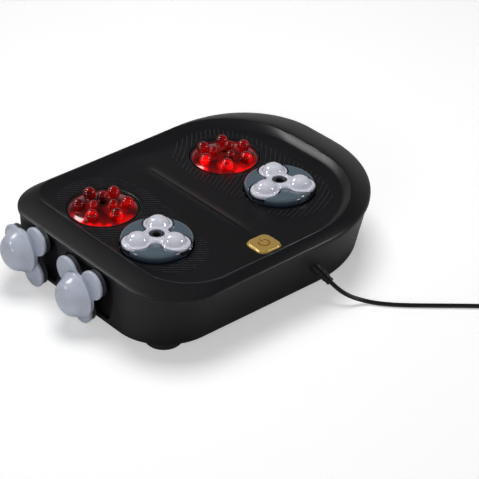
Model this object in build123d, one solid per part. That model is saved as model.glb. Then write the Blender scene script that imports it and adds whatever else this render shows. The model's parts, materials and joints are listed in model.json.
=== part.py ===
from build123d import *
from dataclasses import astuple, dataclass
import math
import os

# Foot massager with four kneading heads on its foot plate and two on its left side.
# All lengths are millimetres. +X runs to the round end, +Y to the toe side, +Z up, and z = 0 is
# the surface that the four rubber feet stand on. A name that ends in SHARE or SHARES is a ratio.

OVERRUN = 6.0
RUNNING_FIT = 0.08
PRESS_FIT = 0.02
AXIAL_GAP = 0.35

# Housing outline at the lip, where the cover meets the tray
LENGTH = 381.0
WIDTH = 299.0
LIP_NEAR_LEFT_R = 72.0
LIP_NEAR_RIGHT_R = 160.0
LIP_FAR_RIGHT_R = 100.0
LIP_FAR_LEFT_R = 52.0
LIP_TOP = 75.0
LIP_HEIGHT = 3.7
WALL = 2.5
SEAM = 0.3

# Raised crest round the foot plate, as distances in from the lip
BAND_LEFT = 30.0
BAND_NEAR = 13.5
BAND_RIGHT = 41.5
BAND_FAR = 9.5
CREST_NEAR_LEFT_R = 60.0
CREST_NEAR_RIGHT_R = 120.0
CREST_FAR_RIGHT_R = 96.0
CREST_FAR_LEFT_R = 36.0
CREST_LEFT_Z = 79.8
CREST_RIGHT_Z = 85.4
BAND_SHARES = ((0.0, 0.0), (0.45, 0.56), (0.76, 0.86), (0.93, 0.98), (1.0, 1.0))

# Foot plate inside the crest, as distances in from the crest
FLOOR_LEFT = 14.0
FLOOR_NEAR = 13.0
FLOOR_RIGHT = 22.0
FLOOR_FAR = 46.0
FLOOR_NEAR_LEFT_R = 50.0
FLOOR_NEAR_RIGHT_R = 104.0
FLOOR_FAR_RIGHT_R = 74.0
FLOOR_FAR_LEFT_R = 34.0
RIDGE_Z = 78.7
TROUGH_DEPTH = 1.7
DISH_SHARES = ((0.0, 0.0), (0.07, 0.1), (0.2, 0.36), (0.4, 0.66), (0.68, 0.9), (1.0, 1.0))

# Tray below the lip, as distances in from the lip
FOOT_HEIGHT = 10.0
TRAY_INSET = 1.75
TRAY_NEAR = 21.0
TRAY_RIGHT = 5.9
TRAY_FAR = 8.0
TRAY_NEAR_LEFT_R = 62.0
TRAY_NEAR_RIGHT_R = 145.0
TRAY_FAR_RIGHT_R = 95.0
TRAY_FAR_LEFT_R = 48.0
TONGUE_WALL = 1.5
TONGUE_FIT = 0.15

# Kneading heads of the foot plate
HEAD_SPACING = 178.0
HEAD_MID_X = -4.8
HEAD_MID_Y = 11.65
HEAD_R = 40.1
HEAD_GAP = 1.1
COLLAR_WALL = 2.0
COLLAR_HEIGHT = 6.0
HUB_R = 9.0
HUB_GAP = 2.5

# Gears
MODULE = 2.5
HEAD_TEETH = 26
PINION_TEETH = 12
SIDE_TEETH = 19
PRESSURE_ANGLE = 25.0
ADDENDUM_SHARE = 0.8
DEDENDUM_SHARE = 1.0
BACKLASH = 0.16
GEAR_FACE = 8.0
GEAR_HUB_R = 8.0
GEAR_HUB_HEIGHT = 3.5
SHAFT_R = 4.0

# Chassis, bushes and motors
CHASSIS_Z = 36.0
CHASSIS_PLATE = 3.0
CHASSIS_WIDTH = 68.0
CHASSIS_LENGTH = 172.0
CHASSIS_CORNER_R = 8.0
POST_R = 5.0
POST_INSET = 9.0
BUSH_WALL = 2.0
BUSH_FLANGE_R = 9.0
BUSH_FLANGE = 1.2
BOSS_WALL = 2.5
BOSS_HEIGHT = 10.0
MOTOR_R = 25.0
MOTOR_HEIGHT = 20.0
MOTOR_EAR_R = 5.0
MOTOR_EAR_REACH = 29.0
MOTOR_NOSE_R = 9.0
MOTOR_SHAFT_R = 3.5
MOTOR_SHAFT_DEPTH = 12.0
SIDE_MOTOR_HEIGHT = 15.0

# Slate disc and three-lobed kneader of a heel head
DISC_TOP = 87.0
DISC_BOTTOM = 73.0
DISC_SHOULDER_R = 4.0
DISC_WALL = 3.0
LOBE_REACH = 24.6
LOBE_R = 16.4
LOBE_WAIST_R = 15.4
LOBE_BASE = 83.2
LOBE_PLATE = 7.4
LOBE_EDGE_R = 2.8
LOBE_DOME_R = 14.2
LOBE_DOME_HEIGHT = 5.8
LOBE_CLEARANCE = 1.8
WELL_DEPTH = 3.6
RECESS_R = 9.2
RECESS_DEPTH = 2.2
RECESS_HOLE_R = 5.0
HEEL_ANGLES = (48.0, 66.0)

# Holder and red cap of a toe head
HOLDER_TOP = 76.6
HOLDER_BOTTOM = 70.4
HOLDER_RING_WALL = 1.6
SPOKE_WIDTH = 9.0
SPOKE_HEIGHT = 3.6
CAP_HEIGHT = 6.6
CAP_WALL = 2.4
CAP_FIT = 0.15
NODE_OUTER_REACH = 27.2
NODE_OUTER_R = 6.85
NODE_OUTER_Z = 82.8
NODE_INNER_REACH = 12.4
NODE_INNER_R = 5.2
NODE_INNER_Z = 83.4
CAP_HOLE_R = 4.25
TOE_OUTER_ANGLES = (26.0, 56.0)
TOE_INNER_ANGLES = (56.0, 24.0)

# Lamp boards under the red caps
LAMP_BOARD_Z = 57.0
BOARD = 1.6
LAMP_BOARD_WIDTH = 66.0
LAMP_BOARD_HOLE_R = 12.0
LAMP_POST_R = 3.0
LAMP_POST_REACH_Y = 24.0
LAMP_R = 2.5
LAMP_HEIGHT = 5.0

# Side heads, measured outwards from the left end of the lip
SIDE_MID_Y = 35.8
SIDE_Z = 43.5
ARM_GAP = 1.2
ARM_PLATE = 5.3
ARM_LOBE_R = 15.6
ARM_HUB_R = 12.0
PADDLE_PLATE = 5.0
PADDLE_REACH = 25.4
PADDLE_LOBE_R = 16.8
PADDLE_WAIST_R = 15.6
PADDLE_EDGE_R = 2.0
DOME_STEP = 4.4
DOME_STEP_INSET = 2.2
DOME_R = 26.0
DOME_DEPTH = 22.6
DOME_OFFSET = 6.0
DOME_TURN = -28.0
DOME_SHARES = (
    (1.0, 0.0),
    (1.0, 0.07),
    (0.9, 0.17),
    (0.83, 0.32),
    (0.76, 0.5),
    (0.62, 0.73),
    (0.36, 0.93),
    (0.0, 1.0),
)
PADDLE_ANGLES = (9.0, -94.0)
POCKET_R = 44.0
POCKET_DEPTH = 5.0
POCKET_ROOF = 2.5
POCKET_FLOOR = 5.0

# Side panel, as seen from the left: its seam leans from top to bottom
PANEL_NEAR_TOP = -53.5
PANEL_NEAR_BOTTOM = -70.5
PANEL_FAR = 125.0
PANEL_REACH_IN = 22.0
PANEL_SEAM = 0.4

# Bracket behind the side panel
BRACKET_PLATE = 2.5
BRACKET_ABOVE = 18.0
BRACKET_MARGIN = 15.0
BRACKET_FOOT = 13.0

# Power button, its board, switch and spring. The inset is from the near side of the lip.
BUTTON_X = -6.9
BUTTON_INSET = 37.1
BUTTON_SIZE = 31.5
BUTTON_CORNER_R = 8.5
BUTTON_TOP = 80.7
BUTTON_CROWN = 1.2
BUTTON_HEIGHT = 9.0
BUTTON_WALL = 2.0
BUTTON_GAP = 0.35
BUTTON_TRAVEL = 1.5
BUTTON_STEM_R = 4.0
BOARD_Z = 60.0
BOARD_LENGTH = 64.0
BOARD_WIDTH = 33.0
BOARD_POST_R = 4.0
BOARD_POST_INSET = 5.0
SWITCH_SIZE = 12.0
SWITCH_HEIGHT = 4.5
SWITCH_PLUNGER_R = 3.3
SWITCH_PLUNGER = 1.5
SPRING_R = 10.0
SPRING_WIRE = 1.0
SPRING_TURNS = 4

# Screws and feet
SCREW_R = 1.75
SCREW_HEAD_R = 3.5
SCREW_HEAD = 2.4
SHORT_SCREW = 10.0
CASE_SCREW = 24.0
CASE_BOSS_R = 5.0
CASE_BOSS_TOP = 32.0
CASE_COUNTERBORE = 12.0
FOOT_R = 20.5
FOOT_RECESS_R = 5.5
FOOT_RECESS = 5.0
FOOT_SEAT = 1.0
FOOT_SCREW = 12.0
CASE_SCREW_SHARES = (
    (-0.262, -0.334),
    (0.223, -0.334),
    (0.452, 0.034),
    (0.289, 0.395),
    (-0.009, 0.395),
    (-0.289, 0.395),
)
FOOT_SHARES = ((-0.348, -0.318), (0.349, -0.2), (0.396, 0.29), (-0.348, 0.344))

# Mains lead: a 5 mm round two-core cord. The free stretch follows these points on the floor.
CORD_D = 5.0
RELIEF_R = 6.3
RELIEF_TIP_R = 4.4
RELIEF_LENGTH = 23.0
RELIEF_FLANGE_R = 8.6
RELIEF_FLANGE = 1.6
RELIEF_INSIDE = 7.0
RELIEF_GROOVES = 3
RELIEF_GROOVE_SHARE = 0.1
RELIEF_ROOT = (48.0, -137.3, 38.0)
RELIEF_HEADING = (0.25, -0.81, -0.53)
CORD_FIRST_RUN = 12.4
CORD_POINTS = (
    (65.2, -175.6, 12.2),
    (76.0, -180.4, 5.9),
    (84.8, -187.5, 2.5),
    (91.2, -196.6, 2.5),
    (105.4, -212.4, 2.5),
    (136.0, -238.6, 2.5),
    (171.3, -268.4, 2.5),
    (206.6, -301.2, 2.5),
)
CORD_RADIUS_SHARE = 0.45
COIL_TURNS = 9
COIL_MEAN_R = 27.5
COIL_SIDE_GAP = 1.9
COIL_LAYER_GAP = 0.5
COIL_TAIL = 26.0
COIL_SAMPLES = 24

# Two-pin plug
PLUG_NECK = 14.0
PLUG_NECK_R = 4.6
PLUG_BODY = 34.0
PLUG_WIDTH = 35.0
PLUG_BACK_WIDTH = 22.0
PLUG_CORNER_R = 5.0
PIN_R = 2.0
PIN_LENGTH = 19.0
PIN_SPACING = 18.6


@dataclass(frozen=True)
class Outline:
    """A rounded rectangle whose four corners each have a radius of their own."""

    left: float
    near: float
    right: float
    far: float
    near_left_r: float
    near_right_r: float
    far_right_r: float
    far_left_r: float

    def inset(self, amount):
        """The same outline moved in by amount on every side, or out where it is negative."""
        return Outline(
            self.left + amount,
            self.near + amount,
            self.right - amount,
            self.far - amount,
            self.near_left_r - amount,
            self.near_right_r - amount,
            self.far_right_r - amount,
            self.far_left_r - amount,
        )

    def toward(self, other, share):
        """The outline that lies the given share of the way to another one."""
        pairs = zip(astuple(self), astuple(other))
        return Outline(*(here + (there - here) * share for here, there in pairs))

    def face(self, plane):
        """The outline as a face on a plane, drawn from its near side round by the right."""
        nl, nr = self.near_left_r, self.near_right_r
        fr, fl = self.far_right_r, self.far_left_r
        edges = [
            Line((self.left + nl, self.near), (self.right - nr, self.near)),
            CenterArc((self.right - nr, self.near + nr), nr, -90, 90),
            Line((self.right, self.near + nr), (self.right, self.far - fr)),
            CenterArc((self.right - fr, self.far - fr), fr, 0, 90),
            Line((self.right - fr, self.far), (self.left + fl, self.far)),
            CenterArc((self.left + fl, self.far - fl), fl, 90, 90),
            Line((self.left, self.far - fl), (self.left, self.near + nl)),
            CenterArc((self.left + nl, self.near + nl), nl, 180, 90),
        ]
        return plane * make_face(edges)


# How far the side heads stand out of the lip, and the places that follow from it
SIDE_REACH = ARM_GAP + ARM_PLATE + PADDLE_PLATE + DOME_STEP + DOME_DEPTH
LIP = Outline(
    -(LENGTH + SIDE_REACH) / 2 + SIDE_REACH,
    -WIDTH / 2,
    (LENGTH + SIDE_REACH) / 2,
    WIDTH / 2,
    LIP_NEAR_LEFT_R,
    LIP_NEAR_RIGHT_R,
    LIP_FAR_RIGHT_R,
    LIP_FAR_LEFT_R,
)
CREST = Outline(
    LIP.left + BAND_LEFT,
    LIP.near + BAND_NEAR,
    LIP.right - BAND_RIGHT,
    LIP.far - BAND_FAR,
    CREST_NEAR_LEFT_R,
    CREST_NEAR_RIGHT_R,
    CREST_FAR_RIGHT_R,
    CREST_FAR_LEFT_R,
)
FLOOR = Outline(
    CREST.left + FLOOR_LEFT,
    CREST.near + FLOOR_NEAR,
    CREST.right - FLOOR_RIGHT,
    CREST.far - FLOOR_FAR,
    FLOOR_NEAR_LEFT_R,
    FLOOR_NEAR_RIGHT_R,
    FLOOR_FAR_RIGHT_R,
    FLOOR_FAR_LEFT_R,
)
TRAY_TOP_OUTLINE = LIP.inset(TRAY_INSET)
TRAY_FOOT_OUTLINE = Outline(
    LIP.left + TRAY_INSET,
    LIP.near + TRAY_NEAR,
    LIP.right - TRAY_RIGHT,
    LIP.far - TRAY_FAR,
    TRAY_NEAR_LEFT_R,
    TRAY_NEAR_RIGHT_R,
    TRAY_FAR_RIGHT_R,
    TRAY_FAR_LEFT_R,
)
LIP_BOTTOM = LIP_TOP - LIP_HEIGHT
TRAY_TOP = LIP_BOTTOM - SEAM
TRAY_FLOOR = FOOT_HEIGHT + WALL
TONGUE_HEIGHT = LIP_TOP - WALL - SEAM - TRAY_TOP
TROUGH_Z = RIDGE_Z - TROUGH_DEPTH
CENTRE_DISTANCE = MODULE * (HEAD_TEETH + PINION_TEETH) / 2
SIDE_SPACING = MODULE * SIDE_TEETH * 2
BED_MIDS = (HEAD_MID_X - HEAD_SPACING / 2, HEAD_MID_X + HEAD_SPACING / 2)
BUTTON_Y = LIP.near + BUTTON_INSET
TOE_Y = HEAD_MID_Y + CENTRE_DISTANCE
HEEL_Y = HEAD_MID_Y - CENTRE_DISTANCE
CHASSIS_TOP = CHASSIS_Z + CHASSIS_PLATE
GEAR_Z = CHASSIS_TOP + BUSH_FLANGE + AXIAL_GAP
GEAR_TOP = GEAR_Z + GEAR_FACE
HUB_Z = GEAR_TOP + GEAR_HUB_HEIGHT
BUSH_R = SHAFT_R + RUNNING_FIT + BUSH_WALL
BOSS_R = BUSH_R + BOSS_WALL
HOLE_R = HEAD_R + HEAD_GAP
SIDE_YS = (SIDE_MID_Y + SIDE_SPACING / 2, SIDE_MID_Y - SIDE_SPACING / 2)


def rod(radius, bottom, top, place=(0, 0)):
    """An upright cylinder between two heights."""
    return extrude(Pos(place[0], place[1], bottom) * Circle(radius), top - bottom)


def tube(outer, inner, bottom, top, place=(0, 0)):
    """An upright tube between two heights."""
    ring = Circle(outer) - Circle(inner)
    return extrude(Pos(place[0], place[1], bottom) * ring, top - bottom)


def around(count, first, radius):
    """The centres of a ring of equal steps, counted from an angle in degrees."""
    steps = [math.radians(first + 360 * index / count) for index in range(count)]
    return [(radius * math.cos(angle), radius * math.sin(angle)) for angle in steps]


def outwards(y, depth=0.0):
    """The frame of a side head: its z points out of the left wall and its y points up."""
    return Plane(origin=(LIP.left - depth, y, SIDE_Z), x_dir=(0, -1, 0), z_dir=(-1, 0, 0))


def leaning(left_z, right_z):
    """The plane that has one height over the lip's left end and another over its right end."""
    run = LIP.right - LIP.left
    slope = math.atan2(right_z - left_z, run)
    middle = left_z - (right_z - left_z) * LIP.left / run
    return Plane(
        origin=(0, 0, middle),
        x_dir=(math.cos(slope), 0, math.sin(slope)),
        z_dir=(-math.sin(slope), 0, math.cos(slope)),
    )


def mixed(start, end, share):
    """The value that lies the given share of the way from one to another."""
    return start + (end - start) * share


# Gears with involute flanks of three points each


def involute(angle):
    """The involute function of an angle in radians."""
    return math.tan(angle) - angle


def gear_blank(teeth):
    """The toothed outline of a gear, with a tooth on its local x axis."""
    pitch_r = MODULE * teeth / 2
    pressure = math.radians(PRESSURE_ANGLE)
    base_r = pitch_r * math.cos(pressure)
    tip_r = pitch_r + ADDENDUM_SHARE * MODULE
    root_r = pitch_r - DEDENDUM_SHARE * MODULE
    half_pitch = (math.pi * MODULE / 2 - BACKLASH) / (2 * pitch_r)

    def half_angle(radius):
        flank = math.acos(min(base_r / radius, 1))
        return half_pitch + involute(pressure) - involute(flank)

    radii = [root_r, pitch_r, tip_r]
    sides = [(radius, -half_angle(max(radius, base_r))) for radius in radii]
    sides += [(radius, half_angle(max(radius, base_r))) for radius in reversed(radii)]
    points = []
    for tooth in range(teeth):
        middle = 2 * math.pi * tooth / teeth
        for radius, turn in sides:
            points.append((radius * math.cos(middle + turn), radius * math.sin(middle + turn)))
    return make_face(Polyline(*points, close=True))


def gear(teeth, first_tooth, bore_r):
    """A gear with a hub on its outer face, standing on z = 0."""
    wheel = extrude(Rot(0, 0, first_tooth) * gear_blank(teeth), GEAR_FACE)
    hub = rod(GEAR_HUB_R, 0, GEAR_FACE + GEAR_HUB_HEIGHT)
    return wheel + hub - rod(bore_r, -OVERRUN, GEAR_FACE + GEAR_HUB_HEIGHT + OVERRUN)


def bush(length):
    """A flanged plain bush whose flange stands on z = 0 and whose body hangs below it."""
    body = tube(BUSH_R, SHAFT_R + RUNNING_FIT, -length, 0)
    return body + tube(BUSH_FLANGE_R, SHAFT_R + RUNNING_FIT, 0, BUSH_FLANGE)


def screw(length):
    """A pan-head screw with its head above z = 0 and its shank below."""
    return rod(SCREW_HEAD_R, 0, SCREW_HEAD) + rod(SCREW_R, -length, 0)


def three_lobes(reach, lobe_r, waist_r):
    """Three round lobes joined by hollow arcs that come within waist_r of the middle.

    The first lobe is on the local x axis. The hollow arcs are tangent to the lobes.
    """
    offset = waist_r - reach / 2
    hollow_r = (offset ** 2 + 3 * reach ** 2 / 4 - lobe_r ** 2) / (2 * (lobe_r - offset))
    touch = lobe_r / (lobe_r + hollow_r)
    lobe_centres = around(3, 0, reach)
    hollow_centres = around(3, 60, waist_r + hollow_r)
    tips = around(3, 0, reach + lobe_r)
    waists = around(3, 60, waist_r)
    edges = []
    for index in range(3):
        lobe = Vector(*lobe_centres[index])
        before = Vector(*hollow_centres[index - 1])
        after = Vector(*hollow_centres[index])
        coming = Vector(*lobe_centres[(index + 1) % 3])
        start = lobe + (before - lobe) * touch
        end = lobe + (after - lobe) * touch
        edges.append(ThreePointArc(start, tips[index], end))
        edges.append(ThreePointArc(end, waists[index], coming + (after - coming) * touch))
    return make_face(edges)


# Housing


def crown(inset, drop):
    """The cover's outer form from its lip up to the crest, or the same form made smaller."""
    lip = LIP.inset(inset)
    crest = CREST.inset(inset)
    start = LIP_BOTTOM if inset == 0 else LIP_BOTTOM - OVERRUN
    skirt = extrude(lip.face(Plane.XY.offset(start)), LIP_TOP - drop - start)
    sections = []
    for inset_share, rise_share in BAND_SHARES:
        left_z = mixed(LIP_TOP, CREST_LEFT_Z, rise_share) - drop
        right_z = mixed(LIP_TOP, CREST_RIGHT_Z, rise_share) - drop
        sections.append(lip.toward(crest, inset_share).face(leaning(left_z, right_z)))
    return skirt + loft(sections, ruled=True)


def plate_ground(drop):
    """What lies below the foot plate: two shallow troughs that meet in a ridge between the feet."""
    half = HEAD_SPACING / 2
    ridge = RIDGE_Z - drop
    trough = TROUGH_Z - drop
    base = trough - OVERRUN
    far_left, left = HEAD_MID_X - LENGTH, HEAD_MID_X - HEAD_SPACING
    far_right, right = HEAD_MID_X + LENGTH, HEAD_MID_X + HEAD_SPACING
    edges = [
        Line((far_left, base), (far_left, ridge)),
        Line((far_left, ridge), (left, ridge)),
        ThreePointArc((left, ridge), (HEAD_MID_X - half, trough), (HEAD_MID_X, ridge)),
        ThreePointArc((HEAD_MID_X, ridge), (HEAD_MID_X + half, trough), (right, ridge)),
        Line((right, ridge), (far_right, ridge)),
        Line((far_right, ridge), (far_right, base)),
        Line((far_right, base), (far_left, base)),
    ]
    return extrude(Plane.XZ * make_face(edges), WIDTH, both=True)


def dish(grow, drop):
    """The room above the foot plate, down from the crest, or the same room made larger."""
    bottom = TROUGH_Z - TROUGH_DEPTH
    sections = []
    for inset_share, depth_share in DISH_SHARES:
        left_z = mixed(CREST_LEFT_Z, bottom, depth_share) - drop
        right_z = mixed(CREST_RIGHT_Z, bottom, depth_share) - drop
        outline = CREST.toward(FLOOR, inset_share).inset(-grow)
        sections.append(outline.face(leaning(left_z, right_z)))
    room = loft(sections, ruled=True) + extrude(sections[0], OVERRUN)
    return room - plate_ground(drop)


def button_shape(grow):
    """The button's rounded square, seen from above."""
    size = BUTTON_SIZE + 2 * grow
    return Pos(BUTTON_X, BUTTON_Y) * RectangleRounded(size, size, BUTTON_CORNER_R + grow)


def share_places(shares):
    """Places on the floor of the tray, from shares of the housing's length and width."""
    return [(x * LENGTH, y * WIDTH) for x, y in shares]


def board_post_places():
    """The four corners where the control board is screwed to the cover."""
    x = BOARD_LENGTH / 2 - BOARD_POST_INSET
    y = BOARD_WIDTH / 2 - BOARD_POST_INSET
    return [(BUTTON_X - x, BUTTON_Y - y), (BUTTON_X + x, BUTTON_Y - y),
            (BUTTON_X + x, BUTTON_Y + y), (BUTTON_X - x, BUTTON_Y + y)]


def top_cover():
    """The cover with its crest, foot plate, four head openings and button well."""
    hollow = crown(WALL, WALL) - dish(WALL, WALL)
    under = TROUGH_Z - WALL / 2
    for place in share_places(CASE_SCREW_SHARES):
        hollow -= rod(CASE_BOSS_R, LIP_BOTTOM, CREST_RIGHT_Z, place)
    cover = crown(0, 0) - dish(0, 0) - hollow
    for x in BED_MIDS:
        for y in (TOE_Y, HEEL_Y):
            cover += tube(HOLE_R + COLLAR_WALL, HOLE_R, under - COLLAR_HEIGHT, under, (x, y))
            cover -= rod(HOLE_R, 0, CREST_RIGHT_Z + OVERRUN, (x, y))
    well = button_shape(BUTTON_GAP + COLLAR_WALL) - button_shape(BUTTON_GAP)
    well_bottom = BUTTON_TOP - BUTTON_HEIGHT - BUTTON_TRAVEL
    cover += extrude(Pos(0, 0, well_bottom) * well, TROUGH_Z - well_bottom)
    cover -= extrude(button_shape(BUTTON_GAP), CREST_RIGHT_Z + OVERRUN)
    for place in board_post_places():
        cover += rod(BOARD_POST_R, BOARD_Z + BOARD, under, place)
        cover -= rod(SCREW_R, BOARD_Z, under - BOARD, place)
    for place in share_places(CASE_SCREW_SHARES):
        cover += rod(CASE_BOSS_R, CASE_BOSS_TOP + SEAM, LIP_BOTTOM, place)
        cover -= rod(SCREW_R, 0, CASE_BOSS_TOP + CASE_SCREW, place)
    return cover


def tray_shell():
    """The whole wall below the lip with its floor and the tongue that locates the cover."""
    sections = [
        TRAY_FOOT_OUTLINE.face(Plane.XY.offset(FOOT_HEIGHT)),
        TRAY_TOP_OUTLINE.face(Plane.XY.offset(TRAY_TOP)),
    ]
    inside = [
        TRAY_FOOT_OUTLINE.inset(WALL).face(Plane.XY.offset(TRAY_FLOOR)),
        TRAY_TOP_OUTLINE.inset(WALL).face(Plane.XY.offset(TRAY_TOP)),
    ]
    shell = loft(sections, ruled=True) - loft(inside, ruled=True)
    tongue = LIP.inset(WALL + TONGUE_FIT)
    ring = tongue.face(Plane.XY.offset(TRAY_TOP - OVERRUN / 2))
    ring -= tongue.inset(TONGUE_WALL).face(Plane.XY.offset(TRAY_TOP - OVERRUN / 2))
    return shell + extrude(ring, OVERRUN / 2 + TONGUE_HEIGHT)


def panel_block(gap):
    """The space that the side panel fills, cut smaller by a gap at its seams."""
    top = TRAY_TOP + TONGUE_HEIGHT + OVERRUN
    slope = (PANEL_NEAR_TOP - PANEL_NEAR_BOTTOM) / (TRAY_TOP - FOOT_HEIGHT)
    rise = top - TRAY_TOP
    points = [
        (PANEL_NEAR_BOTTOM - slope * FOOT_HEIGHT + gap, 0),
        (PANEL_FAR - gap, 0),
        (PANEL_FAR - gap, top),
        (PANEL_NEAR_TOP + slope * rise + gap, top),
    ]
    face = Plane.YZ.offset(LIP.left - OVERRUN) * make_face(Polyline(*points, close=True))
    return extrude(face, PANEL_REACH_IN + OVERRUN)


def pockets(radius, floor, roof, inner):
    """Round pockets in the left wall behind the side heads, between two heights."""
    found = Part()
    for y in SIDE_YS:
        found += extrude(outwards(y, OVERRUN) * Circle(radius), -OVERRUN - inner)
    room = Pos(LIP.left, SIDE_MID_Y, floor) * Box(
        PANEL_REACH_IN * 2, WIDTH, roof - floor, align=(Align.CENTER, Align.CENTER, Align.MIN)
    )
    return found & room


def floor_boss(place, radius, top):
    """An upright boss on the tray's floor."""
    return rod(radius, FOOT_HEIGHT, top, place)


def chassis_post_places(x):
    """The four places where a chassis is screwed down."""
    half_x = CHASSIS_WIDTH / 2 - POST_INSET
    half_y = CHASSIS_LENGTH / 2 - POST_INSET
    return [(x + sx * half_x, HEAD_MID_Y + sy * half_y) for sx in (-1, 1) for sy in (-1, 1)]


def lower_body():
    """The tray with its bosses, and the hole that the cord comes out of."""
    body = tray_shell() - panel_block(0)
    for place in share_places(CASE_SCREW_SHARES):
        body += floor_boss(place, CASE_BOSS_R, CASE_BOSS_TOP)
        body -= rod(SCREW_R + RUNNING_FIT, 0, CASE_BOSS_TOP + OVERRUN, place)
        body -= rod(SCREW_HEAD_R + SEAM, 0, FOOT_HEIGHT + CASE_COUNTERBORE, place)
    for place in share_places(FOOT_SHARES):
        body += floor_boss(place, CASE_BOSS_R, FOOT_HEIGHT + FOOT_SCREW)
        body -= rod(SCREW_R + PRESS_FIT, 0, FOOT_HEIGHT + FOOT_SCREW + OVERRUN, place)
    for x in BED_MIDS:
        for y in (TOE_Y, HEEL_Y):
            body += floor_boss((x, y), BOSS_R, TRAY_FLOOR + BOSS_HEIGHT)
            body -= rod(BUSH_R + PRESS_FIT, TRAY_FLOOR, TRAY_FLOOR + BOSS_HEIGHT + OVERRUN, (x, y))
        for place in chassis_post_places(x):
            body += floor_boss(place, POST_R, CHASSIS_Z)
            body -= rod(SCREW_R + PRESS_FIT, CHASSIS_Z - SHORT_SCREW, CHASSIS_Z + OVERRUN, place)
    return body - extrude(relief_frame() * Circle(RELIEF_R), RELIEF_LENGTH, both=True)


def side_panel():
    """The left wall with the two round pockets that the side heads turn in front of."""
    panel = tray_shell() & panel_block(PANEL_SEAM)
    face = TRAY_INSET
    backing = pockets(POCKET_R + WALL, FOOT_HEIGHT, TRAY_TOP, face + POCKET_DEPTH + WALL)
    outer = loft([
        TRAY_FOOT_OUTLINE.face(Plane.XY.offset(FOOT_HEIGHT)),
        TRAY_TOP_OUTLINE.face(Plane.XY.offset(TRAY_TOP)),
    ], ruled=True)
    panel += backing & outer & panel_block(PANEL_SEAM)
    panel -= pockets(POCKET_R, FOOT_HEIGHT + POCKET_FLOOR, TRAY_TOP - POCKET_ROOF, face + POCKET_DEPTH)
    for y in SIDE_YS:
        panel -= extrude(outwards(y) * Circle(BUSH_R + PRESS_FIT), -PANEL_REACH_IN)
    return panel


def rubber_feet():
    """Four round feet, each with a seat for its screw."""
    feet = []
    for place in share_places(FOOT_SHARES):
        foot = rod(FOOT_R, 0, FOOT_HEIGHT, place)
        foot = chamfer(foot.edges().filter_by(GeomType.CIRCLE).sort_by(Axis.Z)[0], FOOT_SEAT)
        foot -= rod(FOOT_RECESS_R, -OVERRUN, FOOT_RECESS, place)
        feet.append(foot - rod(SCREW_R + PRESS_FIT, 0, FOOT_HEIGHT + OVERRUN, place))
    return feet


def foot_screws():
    """The screws that hold the rubber feet, put in from below."""
    turned = Rot(180, 0, 0) * screw(FOOT_SCREW)
    return [Pos(x, y, FOOT_RECESS) * turned for x, y in share_places(FOOT_SHARES)]


def case_screws():
    """The screws that hold the cover to the tray, put in from below."""
    turned = Rot(180, 0, 0) * screw(CASE_SCREW)
    seat = FOOT_HEIGHT + CASE_COUNTERBORE
    return [Pos(x, y, seat) * turned for x, y in share_places(CASE_SCREW_SHARES)]


# Mechanism under each foot


def lamp_post_places(x):
    """The four posts round a toe head that carry its lamp board."""
    half_x = CHASSIS_WIDTH / 2 - LAMP_POST_R - SEAM
    return [(x + sx * half_x, TOE_Y + sy * LAMP_POST_REACH_Y) for sx in (-1, 1) for sy in (-1, 1)]


def motor_screw_places(x):
    """Where a motor's two ears are screwed to its chassis."""
    return [(x - MOTOR_EAR_REACH, HEAD_MID_Y), (x + MOTOR_EAR_REACH, HEAD_MID_Y)]


def chassis(x):
    """The plate that carries the gears, with posts for the lamp board."""
    base = Pos(x, HEAD_MID_Y, CHASSIS_Z) * RectangleRounded(CHASSIS_WIDTH, CHASSIS_LENGTH, CHASSIS_CORNER_R)
    plate = extrude(base, CHASSIS_PLATE)
    for y in (TOE_Y, HEEL_Y):
        plate -= rod(BUSH_R + PRESS_FIT, CHASSIS_Z, CHASSIS_TOP, (x, y))
    plate -= rod(MOTOR_NOSE_R + RUNNING_FIT, CHASSIS_Z, CHASSIS_TOP, (x, HEAD_MID_Y))
    for place in chassis_post_places(x) + motor_screw_places(x):
        plate -= rod(SCREW_R + RUNNING_FIT, CHASSIS_Z, CHASSIS_TOP, place)
    for place in lamp_post_places(x):
        plate += rod(LAMP_POST_R, CHASSIS_Z, LAMP_BOARD_Z, place)
    return plate


def motor(height):
    """A round geared motor with its mounting face on z = 0 and its nose above that."""
    ears = Circle(MOTOR_R)
    for side in (-1, 1):
        ears += Pos(side * MOTOR_EAR_REACH, 0) * Circle(MOTOR_EAR_R)
        ears += Pos(side * MOTOR_R, 0) * Rectangle(MOTOR_EAR_REACH - MOTOR_R + MOTOR_EAR_R, 2 * MOTOR_EAR_R)
        ears -= Pos(side * MOTOR_EAR_REACH, 0) * Circle(SCREW_R + PRESS_FIT)
    body = rod(MOTOR_R, -height, 0) + extrude(ears, -BUSH_FLANGE)
    body += rod(MOTOR_NOSE_R, 0, BRACKET_PLATE)
    return body - rod(MOTOR_SHAFT_R + RUNNING_FIT, -MOTOR_SHAFT_DEPTH, BRACKET_PLATE)


def mechanism_screws():
    """The short screws of both chassis, the motors and the side bracket."""
    found = []
    for x in BED_MIDS:
        places = chassis_post_places(x) + motor_screw_places(x)
        found += [Pos(px, py, CHASSIS_TOP) * screw(SHORT_SCREW) for px, py in places]
    found += [Pos(x, y, TRAY_FLOOR + BRACKET_PLATE) * screw(WALL) for x, y in bracket_foot_places()]
    return found


def head_bushes():
    """Eight plain bushes: one in the tray and one in the chassis for each head."""
    found = []
    for x in BED_MIDS:
        for y in (TOE_Y, HEEL_Y):
            found.append(Pos(x, y, TRAY_FLOOR + BOSS_HEIGHT) * bush(BOSS_HEIGHT - AXIAL_GAP))
            found.append(Pos(x, y, CHASSIS_TOP) * bush(CHASSIS_PLATE))
    return found


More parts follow.
